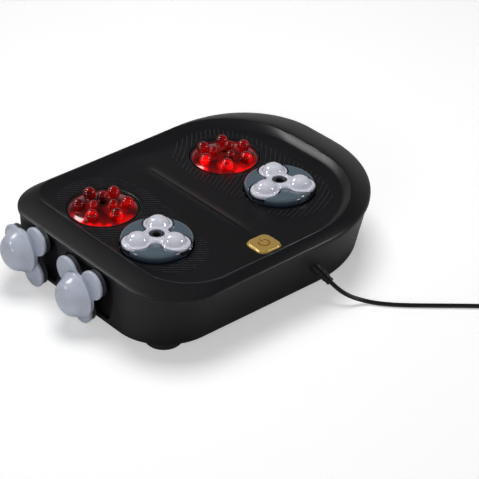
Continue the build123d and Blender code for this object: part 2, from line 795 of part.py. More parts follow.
def pinion(x):
    """A motor's pinion, moulded on its output shaft, with a tooth toward each head gear."""
    wheel = extrude(Rot(0, 0, 90) * gear_blank(PINION_TEETH), GEAR_FACE)
    wheel = Pos(x, HEAD_MID_Y, GEAR_Z) * wheel
    return wheel + rod(MOTOR_SHAFT_R, CHASSIS_Z - MOTOR_SHAFT_DEPTH + AXIAL_GAP, GEAR_Z, (x, HEAD_MID_Y))


def head_shaft(x, y, top):
    """A head's upright steel shaft."""
    return rod(SHAFT_R, TRAY_FLOOR + AXIAL_GAP, top, (x, y))


def head_gear(x, y):
    """A head's gear, turned so that a tooth space faces the pinion."""
    toward_pinion = -90 if y > HEAD_MID_Y else 90
    return Pos(x, y, GEAR_Z) * gear(HEAD_TEETH, toward_pinion + 180 / HEAD_TEETH, SHAFT_R)


# Toe heads: a holder, a lit red cap and the lamps under it


def cap_radius():
    """The radius of the cap at its rim."""
    return HEAD_R - HOLDER_RING_WALL


def holder(x):
    """The turning ring that carries a red cap, with three spokes and a tall hub."""
    inner = cap_radius()
    ring = tube(HEAD_R, inner, HOLDER_BOTTOM, HOLDER_TOP)
    ring += tube(inner, inner - HOLDER_RING_WALL, HOLDER_BOTTOM, HOLDER_BOTTOM + SPOKE_HEIGHT)
    for index in range(3):
        arm = Pos(inner / 2, 0, HOLDER_BOTTOM) * Box(
            inner, SPOKE_WIDTH, SPOKE_HEIGHT, align=(Align.CENTER, Align.CENTER, Align.MIN)
        )
        ring += Rot(0, 0, 120 * index) * arm
    ring += rod(HUB_R, HUB_Z, HOLDER_BOTTOM + SPOKE_HEIGHT)
    return Pos(x, TOE_Y, 0) * (ring - rod(SHAFT_R, 0, DISC_TOP))


def cap_ball(radius, top):
    """The ball that a cap's dome is part of, with the dome's rim at the holder's top."""
    ball_r = (radius ** 2 + top ** 2) / (2 * top)
    return ball_r, HOLDER_TOP + top - ball_r


def red_cap(x, outer_angle, inner_angle):
    """The translucent cap: a shallow dome with six large and three small nodes."""
    rim_r = cap_radius() - CAP_FIT
    ball_r, ball_z = cap_ball(rim_r, CAP_HEIGHT)
    rim_z = HOLDER_BOTTOM + SPOKE_HEIGHT
    cap = rod(rim_r, rim_z, DISC_TOP + OVERRUN) & Pos(0, 0, ball_z) * Sphere(ball_r)
    nodes = [(place, NODE_OUTER_R, NODE_OUTER_Z) for place in around(6, outer_angle, NODE_OUTER_REACH)]
    nodes += [(place, NODE_INNER_R, NODE_INNER_Z) for place in around(3, inner_angle, NODE_INNER_REACH)]
    for (node_x, node_y), radius, z in nodes:
        cap += Pos(node_x, node_y, z) * Sphere(radius)
    hollow = Pos(0, 0, ball_z) * Sphere(ball_r - CAP_WALL)
    cap -= rod(rim_r - CAP_WALL, rim_z - OVERRUN, DISC_TOP) & hollow
    return Pos(x, TOE_Y, 0) * (cap - rod(CAP_HOLE_R, rim_z, DISC_TOP + OVERRUN))


def lamp_board(x):
    """The fixed board under a red cap, with a ring of nine lamps."""
    board = RectangleRounded(LAMP_BOARD_WIDTH, LAMP_BOARD_WIDTH, LAMP_POST_R)
    board -= Circle(LAMP_BOARD_HOLE_R)
    found = [Pos(x, TOE_Y, LAMP_BOARD_Z) * extrude(board, BOARD)]
    reach = (LAMP_BOARD_WIDTH / 2 + LAMP_BOARD_HOLE_R) / 2
    top = LAMP_BOARD_Z + BOARD
    for lx, ly in around(9, 0, reach):
        found.append(rod(LAMP_R, top, top + LAMP_HEIGHT, (x + lx, TOE_Y + ly)))
    return found


# Heel heads: a slate disc with a white three-lobed kneader on it


def heel_disc(x, angle):
    """The slate disc with a rolled shoulder and the wells that the kneader's lobes sit over."""
    shoulder = DISC_SHOULDER_R
    edges = [
        Line((0, DISC_BOTTOM), (HEAD_R, DISC_BOTTOM)),
        Line((HEAD_R, DISC_BOTTOM), (HEAD_R, DISC_TOP - shoulder)),
        CenterArc((HEAD_R - shoulder, DISC_TOP - shoulder), shoulder, 0, 90),
        Line((HEAD_R - shoulder, DISC_TOP), (0, DISC_TOP)),
        Line((0, DISC_TOP), (0, DISC_BOTTOM)),
    ]
    disc = revolve(Plane.XZ * make_face(edges), Axis.Z)
    well_floor = LOBE_BASE - WELL_DEPTH
    disc -= rod(HEAD_R - DISC_WALL, DISC_BOTTOM - OVERRUN, well_floor - WALL)
    wells = three_lobes(LOBE_REACH, LOBE_R + LOBE_CLEARANCE, LOBE_WAIST_R + LOBE_CLEARANCE)
    disc -= extrude(Pos(0, 0, well_floor) * Rot(0, 0, angle) * wells, DISC_TOP)
    disc += rod(HUB_R, HUB_Z, LOBE_BASE)
    return Pos(x, HEEL_Y, 0) * (disc - rod(SHAFT_R, 0, DISC_TOP))


def kneader(x, angle):
    """The white kneader: a three-lobed plate with a dome on each lobe and a sunk centre."""
    outline = three_lobes(LOBE_REACH, LOBE_R, LOBE_WAIST_R)
    plate = extrude(Pos(0, 0, LOBE_BASE) * outline, LOBE_PLATE)
    top = LOBE_BASE + LOBE_PLATE
    rims = plate.edges().group_by(Axis.Z)[-1]
    plate = fillet(rims, LOBE_EDGE_R)
    ball_r = (LOBE_DOME_R ** 2 + LOBE_DOME_HEIGHT ** 2) / (2 * LOBE_DOME_HEIGHT)
    for lx, ly in around(3, 0, LOBE_REACH):
        ball = Pos(lx, ly, top + LOBE_DOME_HEIGHT - ball_r) * Sphere(ball_r)
        plate += ball & rod(LOBE_R, LOBE_BASE, top + LOBE_DOME_HEIGHT, (lx, ly))
    plate -= rod(RECESS_R, top - RECESS_DEPTH, top + OVERRUN)
    plate -= rod(RECESS_HOLE_R, 0, top + OVERRUN)
    return Pos(x, HEEL_Y, 0) * (Rot(0, 0, angle) * plate)


def hub_screw(x):
    """The screw at the bottom of a kneader's centre hole, in the end of its shaft."""
    washer = rod(HUB_R - HUB_GAP - RECESS_DEPTH, LOBE_BASE, LOBE_BASE + LOBE_PLATE / 4)
    head = rod(SCREW_HEAD_R, LOBE_BASE, LOBE_BASE + SCREW_HEAD)
    return Pos(x, HEEL_Y, 0) * (washer + head)


# Side heads


def side_turn(angle):
    """An angle from the toe side toward the top, as an angle in the side frame."""
    return Rot(0, 0, 180 - angle)


def paddle_base():
    """How far out the back of a paddle stands."""
    return ARM_GAP + ARM_PLATE


def side_gear_back():
    """How far in the outer face of a side gear lies."""
    return TRAY_INSET + POCKET_DEPTH + WALL + BUSH_FLANGE + AXIAL_GAP


def bracket_back():
    """How far in the outer face of the bracket lies."""
    return side_gear_back() + GEAR_FACE + BUSH_FLANGE + AXIAL_GAP


def side_arm(y, angle):
    """The dark three-armed carrier behind a paddle, with a hub that runs into the pocket."""
    outline = three_lobes(PADDLE_REACH, ARM_LOBE_R, PADDLE_WAIST_R - PADDLE_LOBE_R + ARM_LOBE_R)
    arm = extrude(Pos(0, 0, ARM_GAP) * side_turn(angle) * outline, ARM_PLATE)
    hub_bottom = -(TRAY_INSET + POCKET_DEPTH - BUSH_FLANGE - AXIAL_GAP)
    arm += rod(ARM_HUB_R, hub_bottom, ARM_GAP)
    return outwards(y) * (arm - rod(SHAFT_R, hub_bottom - OVERRUN, ARM_GAP + ARM_PLATE + OVERRUN))


def side_paddle(y, angle):
    """A grey three-lobed paddle with rolled edges."""
    outline = three_lobes(PADDLE_REACH, PADDLE_LOBE_R, PADDLE_WAIST_R)
    plate = extrude(Pos(0, 0, paddle_base()) * side_turn(angle) * outline, PADDLE_PLATE)
    plate = fillet(plate.edges().group_by(Axis.Z)[-1], PADDLE_EDGE_R)
    return outwards(y) * (plate - rod(SHAFT_R, 0, paddle_base() + PADDLE_PLATE + OVERRUN))


def side_dome(y, angle):
    """The bell-shaped cap of a side head, set a little off its axis toward one lobe."""
    turn = math.radians(180 - angle - DOME_TURN)
    place = (DOME_OFFSET * math.cos(turn), DOME_OFFSET * math.sin(turn))
    base = paddle_base() + PADDLE_PLATE
    rim = base + DOME_STEP
    outline = [(DOME_R * radius, rim + DOME_DEPTH * depth) for radius, depth in DOME_SHARES]
    edges = [
        Line((0, rim), outline[0]),
        Line(outline[0], outline[1]),
        Spline(*outline[1:], tangents=((-1, 1), (-1, 0))),
        Line(outline[-1], (0, rim)),
    ]
    bell = revolve(Plane.XZ * make_face(edges), Axis.Z)
    bell += rod(DOME_R - DOME_STEP_INSET, base, rim)
    bell = Pos(place[0], place[1], 0) * bell
    return outwards(y) * (bell - rod(SHAFT_R, 0, rim))


def side_shaft(y):
    """A side head's shaft, from the bracket out to its dome."""
    inner = bracket_back() + BRACKET_PLATE
    reach = paddle_base() + PADDLE_PLATE + DOME_STEP
    return outwards(y) * rod(SHAFT_R, -inner, reach)


def side_gear(y):
    """One of the three equal gears behind the side panel."""
    wheel = extrude(gear_blank(SIDE_TEETH), GEAR_FACE)
    wheel = Pos(0, 0, -side_gear_back() - GEAR_FACE) * wheel
    if y == SIDE_MID_Y:
        shaft_end = -bracket_back() - MOTOR_SHAFT_DEPTH + AXIAL_GAP
        return outwards(y) * (wheel + rod(MOTOR_SHAFT_R, shaft_end, -side_gear_back()))
    return outwards(y) * (wheel - rod(SHAFT_R, -bracket_back(), 0))


def bracket_foot_places():
    """Where the bracket's foot is screwed to the tray's floor."""
    x = LIP.left + bracket_back() + BRACKET_PLATE + BRACKET_FOOT / 2
    return [(x, SIDE_YS[0]), (x, SIDE_YS[1])]


def side_bracket():
    """The angle plate that carries the side motor and the inner ends of the side shafts."""
    length = SIDE_SPACING + 2 * BRACKET_MARGIN
    height = SIDE_Z + BRACKET_ABOVE - TRAY_FLOOR
    x = LIP.left + bracket_back()
    plate = Pos(x, SIDE_MID_Y, TRAY_FLOOR) * Box(
        BRACKET_PLATE, length, height, align=(Align.MIN, Align.CENTER, Align.MIN)
    )
    plate += Pos(x, SIDE_MID_Y, TRAY_FLOOR) * Box(
        BRACKET_PLATE + BRACKET_FOOT, length, BRACKET_PLATE, align=(Align.MIN, Align.CENTER, Align.MIN)
    )
    for y in SIDE_YS:
        plate -= extrude(outwards(y, -bracket_back()) * Circle(BUSH_R + PRESS_FIT), -BRACKET_PLATE)
    nose = outwards(SIDE_MID_Y, -bracket_back()) * Circle(MOTOR_NOSE_R + RUNNING_FIT)
    plate -= extrude(nose, -BRACKET_PLATE)
    for place in bracket_foot_places():
        plate -= rod(SCREW_R + PRESS_FIT, 0, TRAY_FLOOR + OVERRUN, place)
    return plate


def side_motor():
    """The flat motor that turns the middle side gear."""
    depth = -bracket_back() - BRACKET_PLATE
    return outwards(SIDE_MID_Y, depth) * motor(SIDE_MOTOR_HEIGHT)


def side_bushes():
    """Plain bushes in the panel and in the bracket for both side shafts."""
    found = []
    for y in SIDE_YS:
        wall = -(TRAY_INSET + POCKET_DEPTH)
        found.append(outwards(y, wall) * bush(WALL))
        found.append(outwards(y, -bracket_back()) * bush(BRACKET_PLATE))
    return found


# Power button


def power_button():
    """The crowned square button with its guide skirt and the stem that reaches the switch."""
    half = BUTTON_SIZE / math.sqrt(2)
    ball_r = (half ** 2 + BUTTON_CROWN ** 2) / (2 * BUTTON_CROWN)
    bottom = BUTTON_TOP - BUTTON_HEIGHT
    block = extrude(Pos(0, 0, bottom) * button_shape(0), BUTTON_HEIGHT)
    block = block & Pos(BUTTON_X, BUTTON_Y, BUTTON_TOP - ball_r) * Sphere(ball_r)
    ceiling = BUTTON_TOP - BUTTON_CROWN - BUTTON_WALL
    block -= extrude(Pos(0, 0, bottom) * button_shape(-BUTTON_WALL), ceiling - bottom)
    stem_bottom = switch_top() + BUTTON_TRAVEL + SEAM
    return block + rod(BUTTON_STEM_R, stem_bottom, ceiling, (BUTTON_X, BUTTON_Y))


def switch_top():
    """The height of the switch's plunger at rest."""
    return BOARD_Z + BOARD + SWITCH_HEIGHT + SWITCH_PLUNGER


def control_board():
    """The board under the button, screwed to the cover's posts."""
    outline = RectangleRounded(BOARD_LENGTH, BOARD_WIDTH, BOARD)
    board = Pos(BUTTON_X, BUTTON_Y, BOARD_Z) * extrude(outline, BOARD)
    for place in board_post_places():
        board -= rod(SCREW_R + PRESS_FIT, 0, BOARD_Z + BOARD, place)
    return board


def board_parts():
    """The parts soldered below the board: a relay, a capacitor and a transformer."""
    under = (Align.CENTER, Align.CENTER, Align.MAX)
    quarter = BOARD_LENGTH / 4
    half = BOARD_WIDTH / 2
    third = BOARD_WIDTH / 3
    relay = Pos(BUTTON_X - quarter, BUTTON_Y, BOARD_Z) * Box(half, third, third, align=under)
    transformer = Pos(BUTTON_X + quarter, BUTTON_Y, BOARD_Z) * Box(half, half, half, align=under)
    capacitor = rod(half / 4, BOARD_Z - third, BOARD_Z, (BUTTON_X, BUTTON_Y))
    return [relay, capacitor, transformer]


def button_switch():
    """The push switch on the board, right under the button's stem."""
    body = Pos(BUTTON_X, BUTTON_Y, BOARD_Z + BOARD) * Box(
        SWITCH_SIZE, SWITCH_SIZE, SWITCH_HEIGHT, align=(Align.CENTER, Align.CENTER, Align.MIN)
    )
    return body + rod(SWITCH_PLUNGER_R, BOARD_Z + BOARD, switch_top(), (BUTTON_X, BUTTON_Y))


def arc_from(start, heading, end):
    """The point halfway along the arc that leaves start along heading and reaches end."""
    chord = end - start
    along = chord.normalized()
    aside = (heading - along * heading.dot(along)).normalized()
    half_turn = heading.get_angle(chord)
    bulge = chord.length / 2 * math.tan(math.radians(half_turn) / 2)
    return (start + end) * 0.5 + aside * bulge


def biarc(start, start_heading, end, end_heading):
    """Two arcs that join two points with a given heading at each."""
    chord = end - start
    both = start_heading + end_heading
    a = both.dot(both) - 4
    b = -2 * chord.dot(both)
    reach = (-b - math.sqrt(b * b - 4 * a * chord.dot(chord))) / (2 * a)
    joint = (start + start_heading * reach + end - end_heading * reach) * 0.5
    return [
        ThreePointArc(start, arc_from(start, start_heading, joint), joint),
        ThreePointArc(joint, arc_from(end, end_heading * -1, joint), end),
    ]


def wound_path(points, headings):
    """A smooth path of arcs through points with a heading at each."""
    edges = []
    for index in range(len(points) - 1):
        edges += biarc(points[index], headings[index], points[index + 1], headings[index + 1])
    return edges


def button_spring():
    """The small coil spring round the switch that lifts the button."""
    bottom = BOARD_Z + BOARD + SPRING_WIRE / 2
    top = BUTTON_TOP - BUTTON_CROWN - BUTTON_WALL - SPRING_WIRE / 2
    points = []
    headings = []
    for index in range(2 * SPRING_TURNS + 1):
        angle = math.pi * index
        share = index / (2 * SPRING_TURNS)
        points.append(Vector(
            BUTTON_X + SPRING_R * math.cos(angle),
            BUTTON_Y + SPRING_R * math.sin(angle),
            mixed(bottom, top, share),
        ))
        rise = (top - bottom) / (2 * math.pi * SPRING_TURNS)
        headings.append(Vector(-SPRING_R * math.sin(angle), SPRING_R * math.cos(angle), rise).normalized())
    path = Wire(wound_path(points, headings))
    section = Plane(origin=points[0], z_dir=headings[0]) * Rectangle(SPRING_WIRE, SPRING_WIRE)
    return sweep(section, path=path)


# Mains lead


def relief_frame():
    """The frame of the strain relief, with its z along the way that the cord leaves."""
    return Plane(origin=RELIEF_ROOT, z_dir=RELIEF_HEADING)


def strain_relief():
    """The grooved rubber sleeve in the near wall, with a flange on each side of the wall."""
    sleeve = rod(RELIEF_R - PRESS_FIT, -RELIEF_INSIDE, 0)
    cone = loft([Circle(RELIEF_R - PRESS_FIT), Pos(0, 0, RELIEF_LENGTH) * Circle(RELIEF_TIP_R)])
    sleeve += cone
    sleeve += tube(RELIEF_FLANGE_R, CORD_D / 2, -RELIEF_INSIDE - RELIEF_FLANGE, -RELIEF_INSIDE)
    step = RELIEF_LENGTH / (2 * RELIEF_GROOVES + 2)
    for index in range(RELIEF_GROOVES):
        groove = step * (2 * index + 2)
        radius = mixed(RELIEF_R, RELIEF_TIP_R, groove / RELIEF_LENGTH)
        sleeve -= tube(RELIEF_FLANGE_R, radius * (1 - RELIEF_GROOVE_SHARE), groove, groove + step)
    return relief_frame() * sleeve


def cord_start():
    """Where the free cord leaves the tip of the strain relief."""
    return relief_frame().from_local_coords(Vector(0, 0, RELIEF_LENGTH))


def cord_tube():
    """The free cord from the strain relief to the coil, as runs joined by tangent arcs."""
    first_run = relief_frame().from_local_coords(Vector(0, 0, RELIEF_LENGTH + CORD_FIRST_RUN))
    points = [cord_start(), first_run] + [Vector(*point) for point in CORD_POINTS]
    radii = []
    for before, here, after in zip(points, points[1:], points[2:]):
        first = here - before
        second = after - here
        turn = math.radians(first.get_angle(second))
        shorter = min(first.length, second.length)
        radii.append(CORD_RADIUS_SHARE * shorter / math.tan(turn / 2))
    print("cord radii", [round(radius, 1) for radius in radii])
    path = FilletPolyline(*points, radius=radii)
    section = Plane(origin=points[0], z_dir=points[1] - points[0]) * Circle(CORD_D / 2)
    cord = sweep(section, path=path)
    area = math.pi * (CORD_D / 2) ** 2
    print("cord volume", round(cord.volume, 1), "section x length", round(area * path.length, 1))
    print("cord length", round(path.length, 1))
    return cord


def coil_frame():
    """The frame of the coil, at the end of the free cord and along its heading."""
    end = Vector(*CORD_POINTS[-1])
    return Plane(origin=end, x_dir=end - Vector(*CORD_POINTS[-2]), z_dir=(0, 0, 1))


def coil_node(index):
    """One point of the coil and its heading, counted in half turns from its start."""
    inward = COIL_TURNS - 1
    step = (CORD_D + COIL_SIDE_GAP) / 2
    outer = COIL_MEAN_R + step * inward / 2
    if index <= inward:
        radius = outer - step * index
        height = 0
    else:
        radius = outer - step * (2 * inward + 1 - index)
        height = CORD_D + COIL_LAYER_GAP
    angle = math.pi * index - math.pi / 2
    point = Vector(CORD_D + radius * math.cos(angle), outer + radius * math.sin(angle), height)
    return point, Vector(-math.sin(angle), math.cos(angle), 0)


def coil_path():
    """The whole path of the coil in its own frame: in on one layer, up, and out on the next."""
    found = [coil_node(index) for index in range(2 * COIL_TURNS + 1)]
    points = [point for point, heading in found]
    headings = [heading for point, heading in found]
    start = points[0] - headings[0] * CORD_D
    end = points[-1] + headings[-1] * COIL_TAIL
    return [Line(start, points[0])] + wound_path(points, headings) + [Line(points[-1], end)]


def least_gap(edges):
    """The least distance between turns of the coil's cord, measured on points."""
    samples = []
    for edge in edges:
        for index in range(COIL_SAMPLES):
            samples.append(edge.position_at(index / COIL_SAMPLES))
    lengths = [0.0]
    for before, after in zip(samples, samples[1:]):
        lengths.append(lengths[-1] + (after - before).length)
    least = LENGTH
    for first in range(len(samples)):
        for second in range(first + 1, len(samples)):
            if lengths[second] - lengths[first] > 3 * CORD_D:
                least = min(least, (samples[second] - samples[first]).length)
    return least - CORD_D


def cord_coil():
    """The rest of the lead, coiled in two layers beside the massager."""
    edges = coil_path()
    print("coil length", round(sum(edge.length for edge in edges), 1))
    print("coil least gap", round(least_gap(edges), 2))
    section = Plane(origin=edges[0].position_at(0), z_dir=(1, 0, 0)) * Circle(CORD_D / 2)
    return coil_frame() * sweep(section, path=Wire(edges))


def plug_frame():
    """The frame of the plug, at the end of the coil with its x along the pins."""
    end = coil_frame().from_local_coords(coil_path()[-1].position_at(1))
    return Plane(origin=end, x_dir=coil_frame().x_dir, z_dir=(0, 0, 1))


def plug_body():
    """A flat two-pin plug lying on the floor, with a neck round the cord."""
    thickness = 2 * plug_frame().origin.Z
    across = Plane(origin=(0, 0, 0), x_dir=(0, 1, 0), z_dir=(1, 0, 0))
    neck = extrude(across * Circle(PLUG_NECK_R), PLUG_NECK)
    back = across.offset(PLUG_NECK) * RectangleRounded(PLUG_BACK_WIDTH, thickness - 2 * WALL, PLUG_CORNER_R)
    front = across.offset(PLUG_NECK + PLUG_BODY / 2) * RectangleRounded(PLUG_WIDTH, thickness, PLUG_CORNER_R)
    body = loft([back, front]) + extrude(front, PLUG_BODY / 2)
    return plug_frame() * (neck + body)


def plug_pins():
    """Two round pins with rounded tips."""
    across = Plane(origin=(PLUG_NECK + PLUG_BODY, 0, 0), x_dir=(0, 1, 0), z_dir=(1, 0, 0))
    found = []
    for side in (-1, 1):
        pin = extrude(across * Pos(side * PIN_SPACING / 2, 0) * Circle(PIN_R), PIN_LENGTH)
        pin = chamfer(pin.faces().sort_by(Axis.X)[-1].edges(), PIN_R / 2)
        found.append(plug_frame() * pin)
    return found


# Every piece by the name of its node

nodes = {
    "top_cover": top_cover(),
    "lower_body": lower_body(),
    "side_panel": side_panel(),
    "rubber_feet": rubber_feet(),
    "foot_screws": foot_screws(),
    "case_screws": case_screws(),
    "mechanism_screws": mechanism_screws(),
    "head_bushes": head_bushes(),
    "side_bushes": side_bushes(),
    "side_bracket": side_bracket(),
    "side_motor": side_motor(),
    "control_board": control_board(),
    "board_parts": board_parts(),
    "button_switch": button_switch(),
    "button_spring": button_spring(),
    "power_button": power_button(),
    "strain_relief": strain_relief(),
    "cord": cord_tube(),
    "cord_coil": cord_coil(),
    "plug_body": plug_body(),
    "plug_pins": plug_pins(),
    "side_drive_gear": side_gear(SIDE_MID_Y),
}
for side, mid, heel_angle, outer_angle, inner_angle in zip(
    ("left", "right"), BED_MIDS, HEEL_ANGLES, TOE_OUTER_ANGLES, TOE_INNER_ANGLES
):
    nodes[side + "_chassis"] = chassis(mid)
    nodes[side + "_motor"] = Pos(mid, HEAD_MID_Y, CHASSIS_Z) * motor(MOTOR_HEIGHT)
    nodes[side + "_pinion"] = pinion(mid)
    nodes[side + "_red_shaft"] = head_shaft(mid, TOE_Y, HOLDER_BOTTOM + SPOKE_HEIGHT)
    nodes[side + "_red_gear"] = head_gear(mid, TOE_Y)
    nodes[side + "_red_holder"] = holder(mid)
    nodes[side + "_red_cap"] = red_cap(mid, outer_angle, inner_angle)
    nodes[side + "_lamp_board"] = lamp_board(mid)
    nodes[side + "_white_shaft"] = head_shaft(mid, HEEL_Y, LOBE_BASE)
    nodes[side + "_white_gear"] = head_gear(mid, HEEL_Y)
    nodes[side + "_white_disc"] = heel_disc(mid, heel_angle)
    nodes[side + "_white_kneader"] = kneader(mid, heel_angle)
    nodes[side + "_white_hub_screw"] = hub_screw(mid)
for end, y, paddle_angle in zip(("toe", "heel"), SIDE_YS, PADDLE_ANGLES):
    nodes[end + "_side_shaft"] = side_shaft(y)
    nodes[end + "_side_gear"] = side_gear(y)
    nodes[end + "_side_arm"] = side_arm(y, paddle_angle)
    nodes[end + "_side_paddle"] = side_paddle(y, paddle_angle)
    nodes[end + "_side_dome"] = side_dome(y, paddle_angle)

os.makedirs("parts", exist_ok=True)
for name, shape in nodes.items():
    if isinstance(shape, list):
        shape = Compound(children=shape)
    export_step(shape, os.path.join("parts", name + ".step"))
print("nodes", len(nodes))
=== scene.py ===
"""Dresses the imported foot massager: camera, light, mains lead, housing, heads and finishes.

Lengths in this file are millimetres in the frame of the solid model, +X to the round end, +Y to
the toe side, +Z up. Meshes are scaled to metres when they become objects.
"""

from __future__ import annotations

import json
import logging
import math
from collections.abc import Callable, Iterable, Sequence
from dataclasses import dataclass, replace
from enum import Enum
from typing import Any, NamedTuple

import bmesh
import bpy
from mathutils import Matrix, Vector

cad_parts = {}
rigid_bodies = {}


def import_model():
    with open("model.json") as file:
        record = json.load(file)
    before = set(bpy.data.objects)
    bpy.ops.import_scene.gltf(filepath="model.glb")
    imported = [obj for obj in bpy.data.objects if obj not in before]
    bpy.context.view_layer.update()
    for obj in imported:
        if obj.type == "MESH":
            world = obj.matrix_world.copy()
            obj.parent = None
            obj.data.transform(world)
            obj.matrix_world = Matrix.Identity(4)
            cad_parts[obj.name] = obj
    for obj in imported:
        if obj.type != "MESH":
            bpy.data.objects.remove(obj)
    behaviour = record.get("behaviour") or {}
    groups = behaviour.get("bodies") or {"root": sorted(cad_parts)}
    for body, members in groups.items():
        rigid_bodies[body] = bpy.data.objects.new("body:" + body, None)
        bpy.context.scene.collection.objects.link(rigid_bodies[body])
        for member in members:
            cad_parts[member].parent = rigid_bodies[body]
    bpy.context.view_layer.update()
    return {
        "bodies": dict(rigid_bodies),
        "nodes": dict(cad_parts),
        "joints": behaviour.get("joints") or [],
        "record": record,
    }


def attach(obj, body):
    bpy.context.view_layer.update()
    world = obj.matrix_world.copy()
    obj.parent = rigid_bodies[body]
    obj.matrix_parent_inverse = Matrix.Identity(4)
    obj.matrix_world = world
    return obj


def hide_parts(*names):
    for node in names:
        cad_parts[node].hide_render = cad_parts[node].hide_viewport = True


LOG = logging.getLogger("foot_massager")
MM = 0.001
WELD = 0.001

Tree = bpy.types.NodeTree
Socket = bpy.types.NodeSocket
Mesh = bmesh.types.BMesh
Flat = tuple[float, float]
Spot = tuple[float, float, float]


# Small tools


def linear(hex_colour: str) -> tuple[float, float, float, float]:
    """Turns an sRGB colour into the linear colour that shaders take.

    Args:
        hex_colour: Six hex digits, with or without a leading hash.

    Returns:
        Linear red, green, blue and an alpha of one.
    """
    digits = hex_colour.lstrip("#")
    found = []
    for start in (0, 2, 4):
        value = int(digits[start:start + 2], 16) / 255
        found.append(value / 12.92 if value <= 0.04045 else ((value + 0.055) / 1.055) ** 2.4)
    return found[0], found[1], found[2], 1.0


def mixed(start: float, end: float, share: float) -> float:
    """The value that lies the given share of the way from start to end."""
    return start + (end - start) * share


def eased(value: float) -> float:
    """A smooth step from zero to one, held outside that range."""
    held = min(max(value, 0.0), 1.0)
    return held * held * (3 - 2 * held)


def soft_max(first: float, second: float, width: float) -> float:
    """The larger of two heights, rounded over where they are within a width of each other."""
    gap = max(width - abs(first - second), 0.0) / width
    return max(first, second) + gap * gap * width / 4


def arc(x: float, y: float, radius: float, first: float, last: float, steps: int) -> list[Flat]:
    """Places along an arc.

    Args:
        x: The place of its centre.
        y: The other way.
        radius: Its radius.
        first: The angle of its start, in degrees from +X.
        last: The angle of its end.
        steps: How many equal steps it has.

    Returns:
        The places, with both ends.
    """
    turns = [math.radians(mixed(first, last, step / steps)) for step in range(steps + 1)]
    return [(x + radius * math.cos(turn), y + radius * math.sin(turn)) for turn in turns]


def around(count: int, first: float, radius: float) -> list[Flat]:
    """So many places on a ring in equal steps, from a first angle in degrees."""
    return arc(0, 0, radius, first, first + 360, count)[:-1]


def bearing(start: Flat, end: Flat) -> float:
    """The way from one place to another, in degrees from +X."""
    return math.degrees(math.atan2(end[1] - start[1], end[0] - start[0]))


def linked(name: str, data: bpy.types.ID) -> bpy.types.Object:
    """Makes an object of a mesh, curve, light or camera and puts it in the scene."""
    made = bpy.data.objects.new(name, data)
    bpy.context.scene.collection.objects.link(made)
    return made


def add_node(
    tree: Tree, kind: str, settings: dict[str | int, Any] | None = None, links: dict[str | int, Socket] | None = None
) -> bpy.types.Node:
    """Adds one shader node with its settings and the links into it.

    Args:
        tree: The node tree that gets the node.
        kind: The node's type name.
        settings: Properties by name, or unlinked inputs by name or place.
        links: Outputs of other nodes by the name or place of the input that they feed.

    Returns:
        The new node.
    """
    node = tree.nodes.new(kind)
    for key, value in (settings or {}).items():
        if isinstance(key, str) and hasattr(node, key):
            setattr(node, key, value)
        else:
            node.inputs[key].default_value = value
    for key, socket in (links or {}).items():
        tree.links.new(socket, node.inputs[key])
    return node


# Finishes


def new_material(name: str) -> tuple[bpy.types.Material, Tree]:
    """Makes a material of a name and hands it out with its empty node tree."""
    material = bpy.data.materials.new(name)
    material.use_nodes = True
    material.node_tree.nodes.clear()
    return material, material.node_tree


def noise(tree: Tree, place: Socket, scale: float, detail: float = 2.0) -> Socket:
    """Adds a noise of so many waves to the metre and hands out its value."""
    settings = {"Scale": scale, "Detail": detail}
    return add_node(tree, "ShaderNodeTexNoise", settings, {"Vector": place}).outputs["Fac"]


def bumped(tree: Tree, grain: Socket, relief: float) -> Socket:
    """Adds a bump as deep as the relief in millimetres and hands out its normal."""
    settings = {"Strength": 1.0, "Distance": relief * MM}
    return add_node(tree, "ShaderNodeBump", settings, {"Height": grain}).outputs["Normal"]


def maths(tree: Tree, operation: str, first: Socket, *others: Socket | float) -> Socket:
    """Adds a sum of two or three values.

    Args:
        tree: The node tree.
        operation: What is done with the values.
        first: The first value.
        *others: The others, each a constant or another node's output.

    Returns:
        The result.
    """
    settings: dict[str | int, Any] = {"operation": operation}
    links: dict[str | int, Socket] = {0: first}
    for place, other in enumerate(others, 1):
        (settings if isinstance(other, float) else links)[place] = other
    return add_node(tree, "ShaderNodeMath", settings, links).outputs[0]


def measured(tree: Tree, operation: str, first: Socket, second: Spot = (0.0, 0.0, 0.0)) -> Socket:
    """Adds a node that makes one value of a vector and a constant one, and hands it out."""
    settings = {"operation": operation, 1: second}
    return add_node(tree, "ShaderNodeVectorMath", settings, {0: first}).outputs["Value"]


def remapped(
    tree: Tree, value: Socket, low: float, high: float, least: float = 0.0, most: float = 1.0, smooth: bool = False
) -> Socket:
    """Adds a node that maps one range of a value to another and holds its ends.

    Args:
        tree: The node tree.
        value: The value.
        low: Where its range starts.
        high: Where its range ends.
        least: What the start gives.
        most: What the end gives.
        smooth: Whether the way between them is eased.

    Returns:
        The mapped value.
    """
    kind = "SMOOTHSTEP" if smooth else "LINEAR"
    settings = {"interpolation_type": kind, "From Min": low, "From Max": high, "To Min": least, "To Max": most}
    return add_node(tree, "ShaderNodeMapRange", settings, {"Value": value}).outputs["Result"]


def blended(tree: Tree, share: Socket, start: str, end: str | Socket) -> Socket:
    """Adds a mix of two colours.

    Args:
        tree: The node tree.
        share: How much of the second colour it takes.
        start: The first colour, as sRGB hex.
        end: The second one, as sRGB hex or another node's output.

    Returns:
        The mixed colour.
    """
    settings: dict[str | int, Any] = {"data_type": "RGBA", 6: linear(start)}
    links: dict[str | int, Socket] = {0: share}
    if isinstance(end, str):
        settings[7] = linear(end)
    else:
        links[7] = end
    return add_node(tree, "ShaderNodeMix", settings, links).outputs[2]


